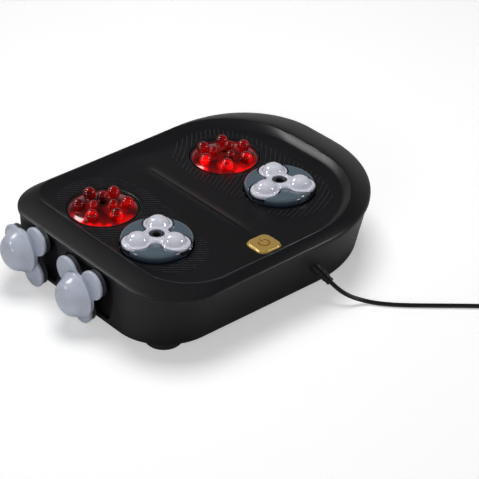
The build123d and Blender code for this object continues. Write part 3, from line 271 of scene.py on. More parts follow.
@dataclass(frozen=True)
class Finish:
    """The look of a real surface.

    Attributes:
        name: What the real surface is.
        colour: Its colour as sRGB hex.
    """

    name: str
    colour: str

    def surface(self, tree: Tree, place: Socket) -> tuple[dict[str | int, Any], dict[str | int, Socket]]:
        """Adds the nodes that the shader takes.

        Args:
            tree: The material's node tree.
            place: The object's own coordinates.

        Returns:
            The shader's constants, and the outputs that feed its other inputs.
        """
        raise NotImplementedError

    def material(self) -> bpy.types.Material:
        """Builds the material.

        Returns:
            The material.
        """
        material, tree = new_material(self.name)
        place = add_node(tree, "ShaderNodeTexCoord").outputs["Object"]
        shader = add_node(tree, "ShaderNodeBsdfPrincipled", *self.surface(tree, place))
        add_node(tree, "ShaderNodeOutputMaterial", None, {"Surface": shader.outputs["BSDF"]})
        return material


@dataclass(frozen=True)
class Plastic(Finish):
    """A moulded, painted or rubber surface with a grain and a slight drift of its colour.

    Attributes:
        drift: The colour that it drifts to where it is worn or dusty.
        roughness: Roughness of the surface under the grain.
        grain: Size of the grain in millimetres.
        relief: Depth of the grain in millimetres.
        specular: Strength of its reflections, with 0.5 for a plain surface.
        coat: Strength of a clear gloss on top.
        glow: Share of light that scatters under the surface.
        metal: Share of metal flake in it.
        foot: A darker colour painted low down as painted shade, as sRGB hex, or nothing where it has one colour.
        foot_span: The heights in millimetres between which that colour gives way.
    """

    drift: str
    roughness: float
    grain: float = 0.9
    relief: float = 0.02
    specular: float = 0.5
    coat: float = 0.0
    glow: float = 0.0
    metal: float = 0.0
    foot: str = ""
    foot_span: Flat = (77.5, 85.0)

    def surface(self, tree: Tree, place: Socket) -> tuple[dict[str | int, Any], dict[str | int, Socket]]:
        """Adds the nodes that the shader takes, as the base class says."""
        colour = blended(tree, noise(tree, place, 14.0, 3.0), self.colour, self.drift)
        # Painted shade: the colour darkens toward the foot, below the top of the foot span
        if self.foot:
            height = add_node(tree, "ShaderNodeSeparateXYZ", None, {0: place}).outputs["Z"]
            low, high = self.foot_span
            colour = blended(tree, remapped(tree, height, low * MM, high * MM), self.foot, colour)
        grain = noise(tree, place, 1 / (self.grain * MM))
        rough = remapped(tree, grain, 0.3, 0.7, self.roughness * 0.88, self.roughness * 1.12)
        settings = {
            "IOR": 1.5, "Specular IOR Level": self.specular, "Metallic": self.metal,
            "Coat Weight": self.coat, "Coat Roughness": 0.05,
            "Subsurface Weight": self.glow, "Subsurface Scale": 0.004,
        }
        return settings, {"Base Color": colour, "Roughness": rough, "Normal": bumped(tree, grain, self.relief)}


@dataclass(frozen=True)
class Metal(Finish):
    """A bare metal surface with fine scratches or a cast grain.

    Attributes:
        roughness: Its roughness.
        grain: Size of its scratches or grains in millimetres.
        stretch: How much longer than wide a scratch is.
        relief: Depth of the grain in millimetres.
    """

    roughness: float
    grain: float = 0.6
    stretch: float = 1.0
    relief: float = 0.01

    def surface(self, tree: Tree, place: Socket) -> tuple[dict[str | int, Any], dict[str | int, Socket]]:
        """Adds the nodes that the shader takes, as the base class says."""
        drawn = add_node(tree, "ShaderNodeMapping", {"Scale": (1.0, 1.0, 1.0 / self.stretch)}, {"Vector": place})
        grain = noise(tree, drawn.outputs["Vector"], 1 / (self.grain * MM))
        rough = remapped(tree, grain, 0.0, 1.0, self.roughness * 0.75, self.roughness * 1.25)
        settings = {"Base Color": linear(self.colour), "Metallic": 1.0}
        return settings, {"Roughness": rough, "Normal": bumped(tree, grain, self.relief)}


@dataclass(frozen=True)
class Lens(Finish):
    """A cap of clear red plastic with a painted glow, which stands in for the light of the lamp board under it and is
    strongest on the near side. Its colour is that of its middle.

    Attributes:
        deep: Its colour toward the rim.
        lit: The colour of the painted glow.
        middle: The cap's axis, as x and y in millimetres.
        rim_r: The cap's radius in millimetres.
        power: Strength of the painted glow at its near edge.
        least: Strength of the painted glow elsewhere.
        near: The way to the near edge, which faces the camera and gets most of the painted glow.
        down: The way that the slopes with painted glow face.
        patches: How many patches of painted glow the metre holds.
    """

    deep: str
    lit: str
    middle: Flat
    rim_r: float = 38.0
    power: float = 0.95
    least: float = 0.12
    near: Spot = (-0.65, -0.76, 0.0)
    down: Spot = (-0.63, -0.74, -0.12)
    patches: float = 62.0

    def surface(self, tree: Tree, place: Socket) -> tuple[dict[str | int, Any], dict[str | int, Socket]]:
        """Adds the nodes that the shader takes, as the base class says."""
        x, y = (-value / self.rim_r for value in self.middle)
        scale = 1 / (self.rim_r * MM)
        settings = {"Location": (x, y, 0.0), "Scale": (scale, scale, 0.0)}
        local = add_node(tree, "ShaderNodeMapping", settings, {"Vector": place}).outputs["Vector"]
        normal = add_node(tree, "ShaderNodeNewGeometry").outputs["Normal"]
        away = measured(tree, "LENGTH", local)
        colour = blended(tree, remapped(tree, away, 0.2, 1.0, smooth=True), self.colour, self.deep)
        lit = remapped(tree, noise(tree, place, self.patches, 1.0), 0.42, 0.58, 0.15, 1.3)
        dim = maths(tree, "MULTIPLY", lit, self.least)
        # Painted glow: emission on the slopes that face the near side, on the rim and on the near half of the cap
        for source, low, high, least in (
            (measured(tree, "DOT_PRODUCT", normal, self.down), 0.0, 0.36, 0.06),
            (away, 0.3, 1.0, 0.1),
            (measured(tree, "DOT_PRODUCT", local, self.near), -0.3, 0.85, 0.04),
        ):
            lit = maths(tree, "MULTIPLY", lit, remapped(tree, source, low, high, least, smooth=True))
        power = maths(tree, "MULTIPLY_ADD", lit, self.power, dim)
        settings = {
            "Roughness": 0.15, "IOR": 1.5, "Specular IOR Level": 0.15, "Coat Weight": 0.6,
            "Coat Roughness": 0.06, "Emission Color": linear(self.lit),
        }
        return settings, {"Base Color": colour, "Emission Strength": power}


# Housing: moulded ABS, spark-eroded to a satin black that still shows soft highlights
HOUSING = Plastic("satin black moulded ABS", "141416", "18181b", 0.33, grain=1.1, relief=0.006, specular=0.3)
# The ribs and the crest's edge line are glossier than the cover and painted a lighter black, a painted highlight, so
# each one shows as a thin light line
PAINTED_HIGHLIGHT_ABS = Plastic("glossy black moulded ABS with painted highlight", "303034", "37373c", 0.22, grain=2.0, relief=0.004, specular=0.6)
# The tray is moulded in the same tool finish, a little duller, and painted darker than the cover as painted shade on
# the side walls
TRAY = Plastic("dull black moulded ABS", "101012", "141417", 0.46, grain=1.1, relief=0.016, specular=0.3)
# Glossy moulded plastics of the heads: no grain to feel, only a slight unevenness in the gloss
PEARL = Plastic("gloss white moulded PP", "dadbe8", "e0e1ec", 0.18, grain=9, relief=0.003, coat=1.0, glow=0.04)
# The slate discs are painted darker toward their foot and in their wells, as painted shade
SLATE = Plastic("gloss slate moulded ABS", "56646f", "5c6b77", 0.13, grain=9, relief=0.003, coat=0.8, foot="1a2130")
PALE = Plastic("satin pale grey moulded TPE", "bac1d1", "c0c7d6", 0.3, grain=9, relief=0.003, coat=0.2)
HOLDER = Plastic("black moulded POM", "161619", "1c1c20", 0.4, grain=1.0)
ARM = Plastic("dark grey moulded POM", "3a3a42", "404048", 0.35, grain=1.0)
ACETAL = Plastic("natural moulded acetal", "e2e0d6", "d8d6cb", 0.38, grain=1.5)
RUBBER = Plastic("black moulded rubber", "121212", "191919", 0.62, grain=0.8, relief=0.03)
PVC = Plastic("black extruded PVC", "101012", "17171a", 0.4, grain=1.6, relief=0.02, specular=0.4)
RING = Plastic("grey moulded rubber ring", "2c3035", "363b40", 0.4, grain=0.8)
GOLD = Plastic("gold lacquered cap", "c6a353", "cdab5e", 0.3, grain=0.5, relief=0.004, coat=0.4, metal=0.35)
SIGN = Plastic("dark red print", "7c1f16", "87251b", 0.35, grain=1.0, relief=0.005)
BOARD = Plastic("green fibreglass circuit board", "1c5b34", "236b3d", 0.35, grain=0.5)
COMPONENT = Plastic("dark moulded component bodies", "2b2c30", "34353a", 0.45, grain=0.7)
# Clear polycarbonate: deep red where the eye sees into it, with a painted glow where the lamp board's light would
# come out of its edge
RED = Lens("clear red moulded PC", "160103", "4c0306", "ff0806", (-93.8, 59.15))
FAR_RED = replace(RED, name="clear red moulded PC of the right cap", middle=(84.2, 59.15))
STEEL = Metal("zinc-plated steel", "b9bcc0", 0.3, stretch=6)
# The hub screws are painted near black, as painted shade at the bottom of the kneaders' holes
SHADE_DARK_STEEL = Metal("steel darkened as painted shade in the kneaders' holes", "0b0b0d", 0.45)
CAN = Metal("plated motor can", "a9abae", 0.34, stretch=4)
BRONZE = Metal("sintered bronze", "a8763e", 0.42, grain=0.3)
NICKEL = Metal("nickel-plated brass", "cfc8b4", 0.2)

NODE_FINISHES: dict[str, Finish] = {
    "top_cover": HOUSING, "lower_body": TRAY, "side_panel": TRAY, "rubber_feet": RUBBER,
    "foot_screws": STEEL, "case_screws": STEEL, "mechanism_screws": STEEL, "head_bushes": BRONZE,
    "side_bushes": BRONZE, "side_bracket": STEEL, "side_motor": CAN, "control_board": BOARD,
    "board_parts": COMPONENT, "button_switch": COMPONENT, "button_spring": STEEL, "power_button": GOLD,
    "strain_relief": PVC, "cord": PVC, "cord_coil": PVC, "plug_body": PVC, "plug_pins": NICKEL,
    "chassis": TRAY, "motor": CAN, "pinion": ACETAL, "shaft": STEEL, "gear": ACETAL, "holder": HOLDER,
    "red_cap": RED, "lamp_board": BOARD, "disc": SLATE, "kneader": PEARL, "hub_screw": SHADE_DARK_STEEL,
    "arm": ARM, "paddle": PALE, "dome": PALE,
}


class Wardrobe:
    """Makes each finish's material once and hands it out."""

    def __init__(self) -> None:
        self.made: dict[str, bpy.types.Material] = {}

    def material(self, finish: Finish) -> bpy.types.Material:
        """The material of a finish."""
        if finish.name not in self.made:
            self.made[finish.name] = finish.material()
        return self.made[finish.name]

    def dress_nodes(self, nodes: dict[str, bpy.types.Object]) -> None:
        """Gives every carried-over node the finish whose key its name is or ends with.

        Args:
            nodes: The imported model's objects by node name.
        """
        for name, node in nodes.items():
            keys = [key for key in NODE_FINISHES if name == key or name.endswith("_" + key)]
            finish = NODE_FINISHES[max(keys, key=len)]
            node.data.materials.clear()
            node.data.materials.append(self.material(finish))
            LOG.info("node %s: %s", name, finish.name)


# Mesh tools


class Carve(Enum):
    """How one closed mesh acts on another."""

    CUT = "DIFFERENCE"
    JOIN = "UNION"


def ring_edges(bm: Mesh, ring: list[bmesh.types.BMVert]) -> list[bmesh.types.BMEdge]:
    """The edges of a closed ring, in order, and new ones where it has none."""
    pairs = zip(ring, ring[1:] + ring[:1])
    return [bm.edges.get(pair) or bm.edges.new(pair) for pair in pairs]


def raise_ring(bm: Mesh, ring: list[bmesh.types.BMVert], places: Sequence[Vector]) -> list[bmesh.types.BMVert]:
    """Extrudes a closed ring and moves the new one to its places.

    Args:
        bm: The mesh that holds the ring.
        ring: The ring's vertices in order.
        places: Where the new ring's vertices go.

    Returns:
        The new ring's vertices in the same order.
    """
    made = bmesh.ops.extrude_edge_only(bm, edges=ring_edges(bm, ring))
    fresh = {item for item in made["geom"] if isinstance(item, bmesh.types.BMVert)}
    raised = []
    for vert, place in zip(ring, places):
        twin = next(edge.other_vert(vert) for edge in vert.link_edges if edge.other_vert(vert) in fresh)
        twin.co = place
        raised.append(twin)
    return raised


def closed_up(bm: Mesh) -> Mesh:
    """Welds vertices at one place and turns all faces outwards."""
    bmesh.ops.remove_doubles(bm, verts=bm.verts, dist=WELD)
    bmesh.ops.recalc_face_normals(bm, faces=bm.faces)
    return bm


def lofted(rings: Sequence[Sequence[Vector]], capped: bool = True) -> Mesh:
    """Builds a mesh through closed rings.

    Args:
        rings: The rings, each with the same number of places.
        capped: Whether both ends are closed. Otherwise the last ring is welded to the first.

    Returns:
        The mesh, with its faces outwards.
    """
    bm = bmesh.new()
    ring = [bm.verts.new(place) for place in rings[0]]
    ring_edges(bm, ring)
    if capped:
        bmesh.ops.contextual_create(bm, geom=ring)
    for places in rings[1:]:
        ring = raise_ring(bm, ring, places)
    if capped:
        bmesh.ops.contextual_create(bm, geom=ring)
    return closed_up(bm)


def turned(profile: Sequence[Flat], steps: int = 96) -> Mesh:
    """Spins a profile round the z axis.

    Args:
        profile: Radius and height of its points, from one end to the other. A closed section
            repeats its first point at its end.
        steps: How many steps a full turn has.

    Returns:
        The mesh, with its faces outwards.
    """
    bm = bmesh.new()
    verts = [bm.verts.new((radius, 0, height)) for radius, height in profile]
    for pair in zip(verts, verts[1:]):
        bm.edges.new(pair)
    bmesh.ops.spin(
        bm, geom=bm.verts[:] + bm.edges[:], cent=(0, 0, 0), axis=(0, 0, 1), angle=2 * math.pi,
        steps=steps, use_merge=True, use_duplicate=False,
    )
    return closed_up(bm)


def placed(bm: Mesh, matrix: Matrix) -> Mesh:
    """Moves and turns a whole mesh."""
    bmesh.ops.transform(bm, matrix=matrix, verts=bm.verts)
    return bm


def moved(bm: Mesh, x: float, y: float, z: float = 0.0, turn: float = 0.0) -> Mesh:
    """Turns a mesh round its z axis by degrees and then moves it."""
    return placed(bm, Matrix.Translation((x, y, z)) @ Matrix.Rotation(math.radians(turn), 4, "Z"))


def joined(parts: Iterable[Mesh]) -> Mesh:
    """Puts several meshes into one, without welding them."""
    whole = bmesh.new()
    for part in parts:
        held = bpy.data.meshes.new("held")
        part.to_mesh(held)
        part.free()
        whole.from_mesh(held)
        bpy.data.meshes.remove(held)
    return whole


def carved(body: Mesh, tool: Mesh, how: Carve = Carve.CUT) -> Mesh:
    """Cuts or joins two closed meshes exactly.

    Args:
        body: The mesh that is worked on.
        tool: The mesh that works on it.
        how: What the tool does.

    Returns:
        The result. Both meshes are used up.
    """
    objects = []
    for bm in (body, tool):
        mesh = bpy.data.meshes.new("carve")
        bm.to_mesh(mesh)
        bm.free()
        objects.append(linked("carve", mesh))
    modifier = objects[0].modifiers.new("carve", "BOOLEAN")
    modifier.operation = how.value
    modifier.solver = "EXACT"
    modifier.use_self = False
    modifier.object = objects[1]
    result = bmesh.new()
    result.from_object(objects[0], bpy.context.evaluated_depsgraph_get())
    for made in objects:
        mesh = made.data
        bpy.data.objects.remove(made)
        bpy.data.meshes.remove(mesh)
    bmesh.ops.remove_doubles(result, verts=result.verts, dist=WELD / 2)
    return result


def softened(bm: Mesh, width: float, angle: float, segments: int = 2) -> Mesh:
    """Rounds every edge that is sharper than an angle in degrees."""
    sharp = [edge for edge in bm.edges if edge.is_manifold and edge.calc_face_angle() > math.radians(angle)]
    bmesh.ops.bevel(
        bm, geom=sharp, offset=width, offset_type="OFFSET", segments=segments, profile=0.5,
        affect="EDGES", clamp_overlap=True, material=-1,
    )
    return bm


def prism(outline: Sequence[Flat], bottom: float, top: float) -> Mesh:
    """A closed upright prism on an outline."""
    return lofted([[Vector((x, y, z)) for x, y in outline] for z in (bottom, top)])


def three_lobes(reach: float, lobe_r: float, waist_r: float, steps: int = 20) -> list[Flat]:
    """The outline of three round lobes joined by tangent hollow arcs.

    Args:
        reach: How far the lobes' centres are from the middle.
        lobe_r: Radius of a lobe.
        waist_r: How near the hollow arcs come to the middle.
        steps: Steps along each arc.

    Returns:
        The outline's places, with the first lobe on +X.
    """
    offset = waist_r - reach / 2
    hollow_r = (offset ** 2 + 3 * reach ** 2 / 4 - lobe_r ** 2) / (2 * (lobe_r - offset))
    lobes = around(3, 0, reach)
    hollows = around(3, 60, waist_r + hollow_r)
    places = []
    for index, lobe in enumerate(lobes):
        before, after = hollows[index - 1], hollows[index]
        start = bearing(lobe, before)
        sweep = (bearing(lobe, after) - start) % 360
        places += arc(*lobe, lobe_r, start, start + sweep, steps)[:-1]
        start = bearing(after, lobe)
        sweep = (start - bearing(after, lobes[(index + 1) % 3])) % 360
        places += arc(*after, hollow_r, start, start - sweep, steps)[:-1]
    return places


def round_curve(
    name: str, radius: float, roundness: int, runs: Sequence[Sequence[Vector]], kind: str = "POLY"
) -> bpy.types.Curve:
    """Makes a curve of round lines, closed at their ends.

    Args:
        name: Its name.
        radius: Radius of a line.
        roundness: How finely a line's section is rounded.
        runs: The control points of each line.
        kind: The kind of spline.

    Returns:
        The curve.
    """
    data = bpy.data.curves.new(name, "CURVE")
    data.dimensions = "3D"
    data.bevel_depth = radius * MM
    data.bevel_resolution = roundness
    data.use_fill_caps = True
    for run in runs:
        spline = data.splines.new(kind)
        spline.points.add(len(run) - 1)
        for target, point in zip(spline.points, run):
            target.co = (*(point * MM), 1.0)
    return data


@dataclass(frozen=True)
class Piece:
    """What a finished mesh is called, what it rides on and what it stands for."""

    name: str
    body: str
    slot: str
    replaces: tuple[str, ...] = ()

    def settle(self, bm: Mesh, wardrobe: Wardrobe, finish: Finish, sharp: float = 38.0) -> None:
        """Turns a mesh into the finished object.

        Args:
            bm: The mesh, in millimetres. It is used up.
            wardrobe: Hands out the materials.
            finish: The piece's finish.
            sharp: Edges that turn more than this many degrees keep a hard shade.
        """
        for face in bm.faces:
            face.smooth = True
        for edge in bm.edges:
            edge.smooth = not (edge.is_manifold and edge.calc_face_angle() > math.radians(sharp))
        bmesh.ops.scale(bm, vec=(MM, MM, MM), verts=bm.verts)
        mesh = bpy.data.meshes.new(self.name)
        bm.to_mesh(mesh)
        bm.free()
        mesh.materials.append(wardrobe.material(finish))
        made = linked(self.name, mesh)
        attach(made, self.body)
        if self.replaces:
            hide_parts(*self.replaces)
        LOG.info("piece %s: %d faces on %s", self.name, len(mesh.polygons), self.body)


# Housing


class Outline(NamedTuple):
    """A rounded rectangle whose four corners each have a radius of their own."""

    left: float
    near: float
    right: float
    far: float
    near_left_r: float
    near_right_r: float
    far_right_r: float
    far_left_r: float

    def inset(self, amount: float) -> Outline:
        """The same outline moved in by amount on every side."""
        radii = (max(radius - amount, 0.5) for radius in self[4:])
        return Outline(self.left + amount, self.near + amount, self.right - amount, self.far - amount, *radii)

    def toward(self, other: Outline, share: float) -> Outline:
        """The outline that lies the given share of the way to another one."""
        return Outline(*(mixed(here, there, share) for here, there in zip(self, other)))

    def corners(self) -> list[tuple[float, float, float, int, int]]:
        """The corners, from the near right one round.

        Returns:
            The centre and radius of each, and on which side it lies in x and y, as 1 or -1.
        """
        found = []
        for side, end, radius in (
            (1, -1, self.near_right_r), (1, 1, self.far_right_r), (-1, 1, self.far_left_r), (-1, -1, self.near_left_r)
        ):
            x = self.right - radius if side > 0 else self.left + radius
            y = self.far - radius if end > 0 else self.near + radius
            found.append((x, y, radius, side, end))
        return found

    def places(self, corner_steps: int = 36, side_steps: int = 14) -> list[Flat]:
        """Places round the outline, from its near right corner round.

        Args:
            corner_steps: Steps along each corner.
            side_steps: Steps along each straight side.

        Returns:
            The places as x and y.
        """
        arcs = [
            arc(x, y, radius, 90 * index - 90, 90 * index, corner_steps)
            for index, (x, y, radius, *_) in enumerate(self.corners())
        ]
        found = []
        for here, after in zip(arcs, arcs[1:] + arcs[:1]):
            (x, y), (end_x, end_y) = here[-1], after[0]
            shares = [step / side_steps for step in range(1, side_steps)]
            found += here + [(mixed(x, end_x, share), mixed(y, end_y, share)) for share in shares]
        return found

    def holds(self, x: float, y: float) -> bool:
        """Whether a place lies inside the outline."""
        return self.left < x < self.right and self.near < y < self.far and not any(
            (x - cx) * side > 0 and (y - cy) * end > 0 and math.hypot(x - cx, y - cy) > radius
            for cx, cy, radius, side, end in self.corners()
        )


LIP = Outline(-171.25, -149.5, 209.75, 149.5, 72, 160, 100, 52)
CREST = Outline(-141.25, -136.0, 168.25, 140.0, 60, 120, 96, 36)
FLOOR = Outline(-127.25, -123.0, 146.25, 94.0, 50, 104, 74, 34)
BED_MIDS = {"left": -93.8, "right": 84.2}
BED_Y = 11.65
TOE_Y = 59.15
HEEL_Y = -35.85
RIDGE_X = -4.8
RIDGE = Outline(RIDGE_X - 1.2, -90, RIDGE_X + 1.2, 84, 1.1, 1.1, 1.1, 1.1)
BUTTON = (-6.9, -112.4)


@dataclass(frozen=True)
class RibField:
    """The footprint-shaped field of ribs of one foot.

    Attributes:
        side: left or right.
        sign: Which way is outwards along x.
        lean: The way that its ribs run, in degrees from +X.
        pitch: From one rib to the next.
        bow: How much a rib bows, per square of the way from its middle.
        outer: How far the field reaches outwards.
        inner: How far it reaches inwards.
        half: Half its length.
    """

    side: str
    sign: int
    lean: float
    pitch: float
    bow: float
    outer: float
    inner: float = 60.0
    half: float = 112.0

    def holds(self, x: float, y: float) -> bool:
        """Whether a place lies in the field, openings or not."""
        across = (x - BED_MIDS[self.side]) * self.sign
        along = (y - BED_Y) / self.half
        if abs(along) >= 1:
            return False
        round_end = (1 - along ** 4) ** 0.5
        # The inner edge is a little hollow at the heel, as a foot's arch is
        return -self.inner * round_end * mixed(0.86, 1.0, eased(along + 0.5)) < across < self.outer * round_end


@dataclass
class HousingCover:
    """The cover: lip, band, crest and dished foot plate with its openings and fine ribs."""

    lip_bottom: float = 71.3
    lip_top: float = 75.0
    lip_edge: float = 0.45
    wall: float = 2.5
    crest_left: float = 79.8
    crest_right: float = 85.4
    band_power: float = 1.37
    band_steps: int = 16
    slope_steps: int = 24
    plate_steps: int = 40
    dish_bottom: float = 75.3
    ridge_z: float = 78.7
    trough_depth: float = 1.7
    half_bed: float = 89.0
    ridge_rise: float = 2.0
    ridge_reach: float = 13.0
    hole_r: float = 41.2
    hole_rim: float = 1.6
    collar: float = 6.0
    collar_wall: float = 2.0
    button_well: float = 32.2
    button_corner: float = 8.85
    cutter: Flat = (60.0, 95.0)
    rib_fields: tuple[RibField, ...] = (
        RibField("left", -1, -40.0, 4.4, 0.0, 45.0), RibField("right", 1, 36.0, 5.6, 0.002, 55.0)
    )
    rib_height: float = 0.5
    rib_lift: float = 0.12
    rib_step: float = 2.0
    rib_half_steps: int = 76
    rib_least_points: int = 5
    hole_margin: float = 3.2
    button_margin: float = 4.0
    bead_r: float = 0.45

    def leaning(self, x: float, left_z: float, right_z: float) -> float:
        """The height at x of a plane that leans from the lip's left end to its right end."""
        return mixed(left_z, right_z, (x - LIP.left) / (LIP.right - LIP.left))

    def ground(self, x: float, y: float) -> float:
        """The height of the foot plate: two shallow troughs with a soft ridge between the feet."""
        reach = min(abs(abs(x - RIDGE_X) - self.half_bed) / self.half_bed, 1.0)
        plate = self.ridge_z - self.trough_depth * (1 - reach * reach)
        near = max(1 - math.hypot(x - RIDGE_X, 0.8) / self.ridge_reach, 0.0)
        fade = eased((y + 96) / 40) * eased((122 - y) / 40)
        return plate + self.ridge_rise * near * near * fade

    def plate_height(self, x: float, y: float, share: float) -> float:
        """The height inside the crest.

        Args:
            x: Place across the feet.
            y: Place along them.
            share: How far the place is from the crest's line to the dish's foot.

        Returns:
            The height there.
        """
        depth = (1 - (1 - share) ** 2) * eased(share / 0.02)
        left_z = mixed(self.crest_left, self.dish_bottom, depth)
        right_z = mixed(self.crest_right, self.dish_bottom, depth)
        return soft_max(self.leaning(x, left_z, right_z), self.ground(x, y), 0.9)

    def dish_share(self, x: float, y: float) -> float:
        """How far a place is from the crest's line to the dish's foot.

        Args:
            x: Place across the feet.
            y: Place along them.

        Returns:
            The share, as 0 to 1.
        """
        if FLOOR.holds(x, y):
            return 1.0
        low, high = 0.0, 1.0
        for _ in range(12):
            share = (low + high) / 2
            if CREST.toward(FLOOR, share).holds(x, y):
                low = share
            else:
                high = share
        return low

    def ring(self, outline: Outline, height: Callable[[float, float], float]) -> list[Vector]:
        """Places round an outline at a height that is found for each."""
        return [Vector((x, y, height(x, y))) for x, y in outline.places()]

    def shell(self) -> Mesh:
        """The closed shell of the cover, before its openings are cut.

        Returns:
            The mesh.
        """
        inner = LIP.inset(self.wall)
        under = self.lip_top - self.wall / 2
        levels = (
            (RIDGE, under), (inner, under), (inner, self.lip_bottom), (LIP.inset(self.lip_edge), self.lip_bottom),
            (LIP, self.lip_bottom + self.lip_edge), (LIP, self.lip_top - 2 * self.lip_edge),
            (LIP.inset(0.25), self.lip_top - 0.2),
        )
        rings = [self.ring(outline, lambda x, y, level=z: level) for outline, z in levels]
        for step in range(1, self.band_steps + 1):
            share = (step / self.band_steps) ** 0.9
            rise = 1 - (1 - share) ** self.band_power
            ends = [mixed(self.lip_top, top, rise) for top in (self.crest_left, self.crest_right)]
            rings.append(self.ring(LIP.toward(CREST, share), lambda x, y, z=ends: self.leaning(x, *z)))
        for step in range(1, self.slope_steps + 1):
            share = (step / self.slope_steps) ** 1.5
            rings.append(self.ring(CREST.toward(FLOOR, share), lambda x, y, s=share: self.plate_height(x, y, s)))
        for step in range(1, self.plate_steps + 1):
            share = 1 - (1 - step / self.plate_steps) ** 1.5
            rings.append(self.ring(FLOOR.toward(RIDGE, share), self.ground))
        return lofted(rings)

    def at_holes(self, profile: Sequence[Flat]) -> list[Mesh]:
        """A profile spun round the middle of each of the four round openings."""
        return [moved(turned(profile), x, y) for x in BED_MIDS.values() for y in (TOE_Y, HEEL_Y)]

    def openings(self) -> Mesh:
        """The four round openings and the button's well, as cutters.

        Returns:
            The cutters in one mesh.
        """
        rim = self.ridge_z - self.trough_depth
        bottom, top = self.cutter
        profile = [(0, bottom), (self.hole_r, bottom), (self.hole_r, rim - 0.7), (self.hole_r + 0.25, rim - 0.2)]
        profile += [(self.hole_r + self.hole_rim, rim + 0.5), (self.hole_r + self.hole_rim, top), (0, top)]
        x, y = BUTTON
        half = self.button_well / 2
        square = Outline(x - half, y - half, x + half, y + half, *[self.button_corner] * 4)
        return joined([*self.at_holes(profile), prism(square.places(8, 2), bottom, top)])

    def collars(self) -> Mesh:
        """The short walls below the openings.

        Returns:
            The walls in one mesh.
        """
        top = self.ridge_z - self.trough_depth - self.wall / 2
        inner, outer = self.hole_r, self.hole_r + self.collar_wall
        profile = [(inner, top - self.collar), (outer, top - self.collar), (outer, top), (inner, top)]
        return joined(self.at_holes(profile + profile[:1]))

    def lines(
        self, wardrobe: Wardrobe, name: str, runs: Sequence[Sequence[Vector]], radius: float, closed: bool = False
    ) -> None:
        """Makes thin raised lines of the housing as one piece.

        Args:
            wardrobe: Hands out the materials.
            name: The piece's name.
            runs: The lines, each as its places.
            radius: Radius of a line.
            closed: Whether each line closes on itself. Otherwise it tapers at its ends.
        """
        data = round_curve(name, radius, 1, runs)
        data.use_fill_caps = not closed
        for spline in data.splines:
            spline.use_cyclic_u = closed
            if not closed:
                spline.points[0].radius = spline.points[-1].radius = 0.3
        drawn = linked(name, data)
        graph = bpy.context.evaluated_depsgraph_get()
        bm = bmesh.new()
        bm.from_mesh(bpy.data.meshes.new_from_object(drawn.evaluated_get(graph)))
        bpy.data.objects.remove(drawn)
        bmesh.ops.scale(bm, vec=(1 / MM, 1 / MM, 1 / MM), verts=bm.verts)
        # Painted highlight: the lines are a lighter black than the cover
        Piece(name, "housing", "housing_black").settle(bm, wardrobe, PAINTED_HIGHLIGHT_ABS, 60)

    def rib_place(self, field: RibField, x: float, y: float) -> Vector | None:
        """Where a rib stands on the cover.

        Args:
            field: The rib's field.
            x: Place across the feet.
            y: Place along them.

        Returns:
            The place, or nothing outside the field and near the openings.
        """
        if not field.holds(x, y):
            return None
        if any(math.hypot(x - BED_MIDS[field.side], y - hole) < self.hole_r + self.hole_margin
               for hole in (TOE_Y, HEEL_Y)):
            return None
        if max(abs(x - BUTTON[0]), abs(y - BUTTON[1])) <= self.button_well / 2 + self.button_margin:
            return None
        share = self.dish_share(x, y)
        height = self.plate_height(x, y, share) if share < 1 else self.ground(x, y)
        return Vector((x, y, height + self.rib_lift))

    def ribs(self, wardrobe: Wardrobe) -> None:
        """Makes the fine ribs of both feet as one piece for each foot.

        Args:
            wardrobe: Hands out the materials.
        """
        for field in self.rib_fields:
            turn = math.radians(field.lean)
            ahead = Vector((math.cos(turn), math.sin(turn)))
            across = Vector((-ahead.y, ahead.x))
            middle = Vector((BED_MIDS[field.side], BED_Y))
            count = int(150 / field.pitch)
            runs: list[list[Vector]] = []
            for index in range(-count, count + 1):
                run: list[Vector] = []
                for step in range(-self.rib_half_steps, self.rib_half_steps + 1):
                    way = step * self.rib_step
                    flat = middle + across * (index * field.pitch + field.bow * way ** 2) + ahead * way
                    place = self.rib_place(field, flat.x, flat.y)
                    if place:
                        run.append(place)
                    if run and (not place or step == self.rib_half_steps):
                        runs.append(run)
                        run = []
            runs = [run for run in runs if len(run) >= self.rib_least_points]
            self.lines(wardrobe, f"{field.side}_foot_ribs", runs, self.rib_height)

    def crest_line(self, wardrobe: Wardrobe) -> None:
        """Makes the fine edge line along the crest."""
        line = self.ring(CREST.inset(0.3), lambda x, y: self.leaning(x, self.crest_left, self.crest_right) - 0.05)
        self.lines(wardrobe, "crest_edge_line", [line], self.bead_r, True)

    def build(self, wardrobe: Wardrobe) -> None:
        """Builds the cover, its ribs and its edge line."""
        cover = joined([carved(self.shell(), self.openings()), self.collars()])
        Piece("housing_cover", "housing", "housing_black", ("top_cover",)).settle(cover, wardrobe, HOUSING, 34)
        self.ribs(wardrobe)
        self.crest_line(wardrobe)


# Heads of the foot plate


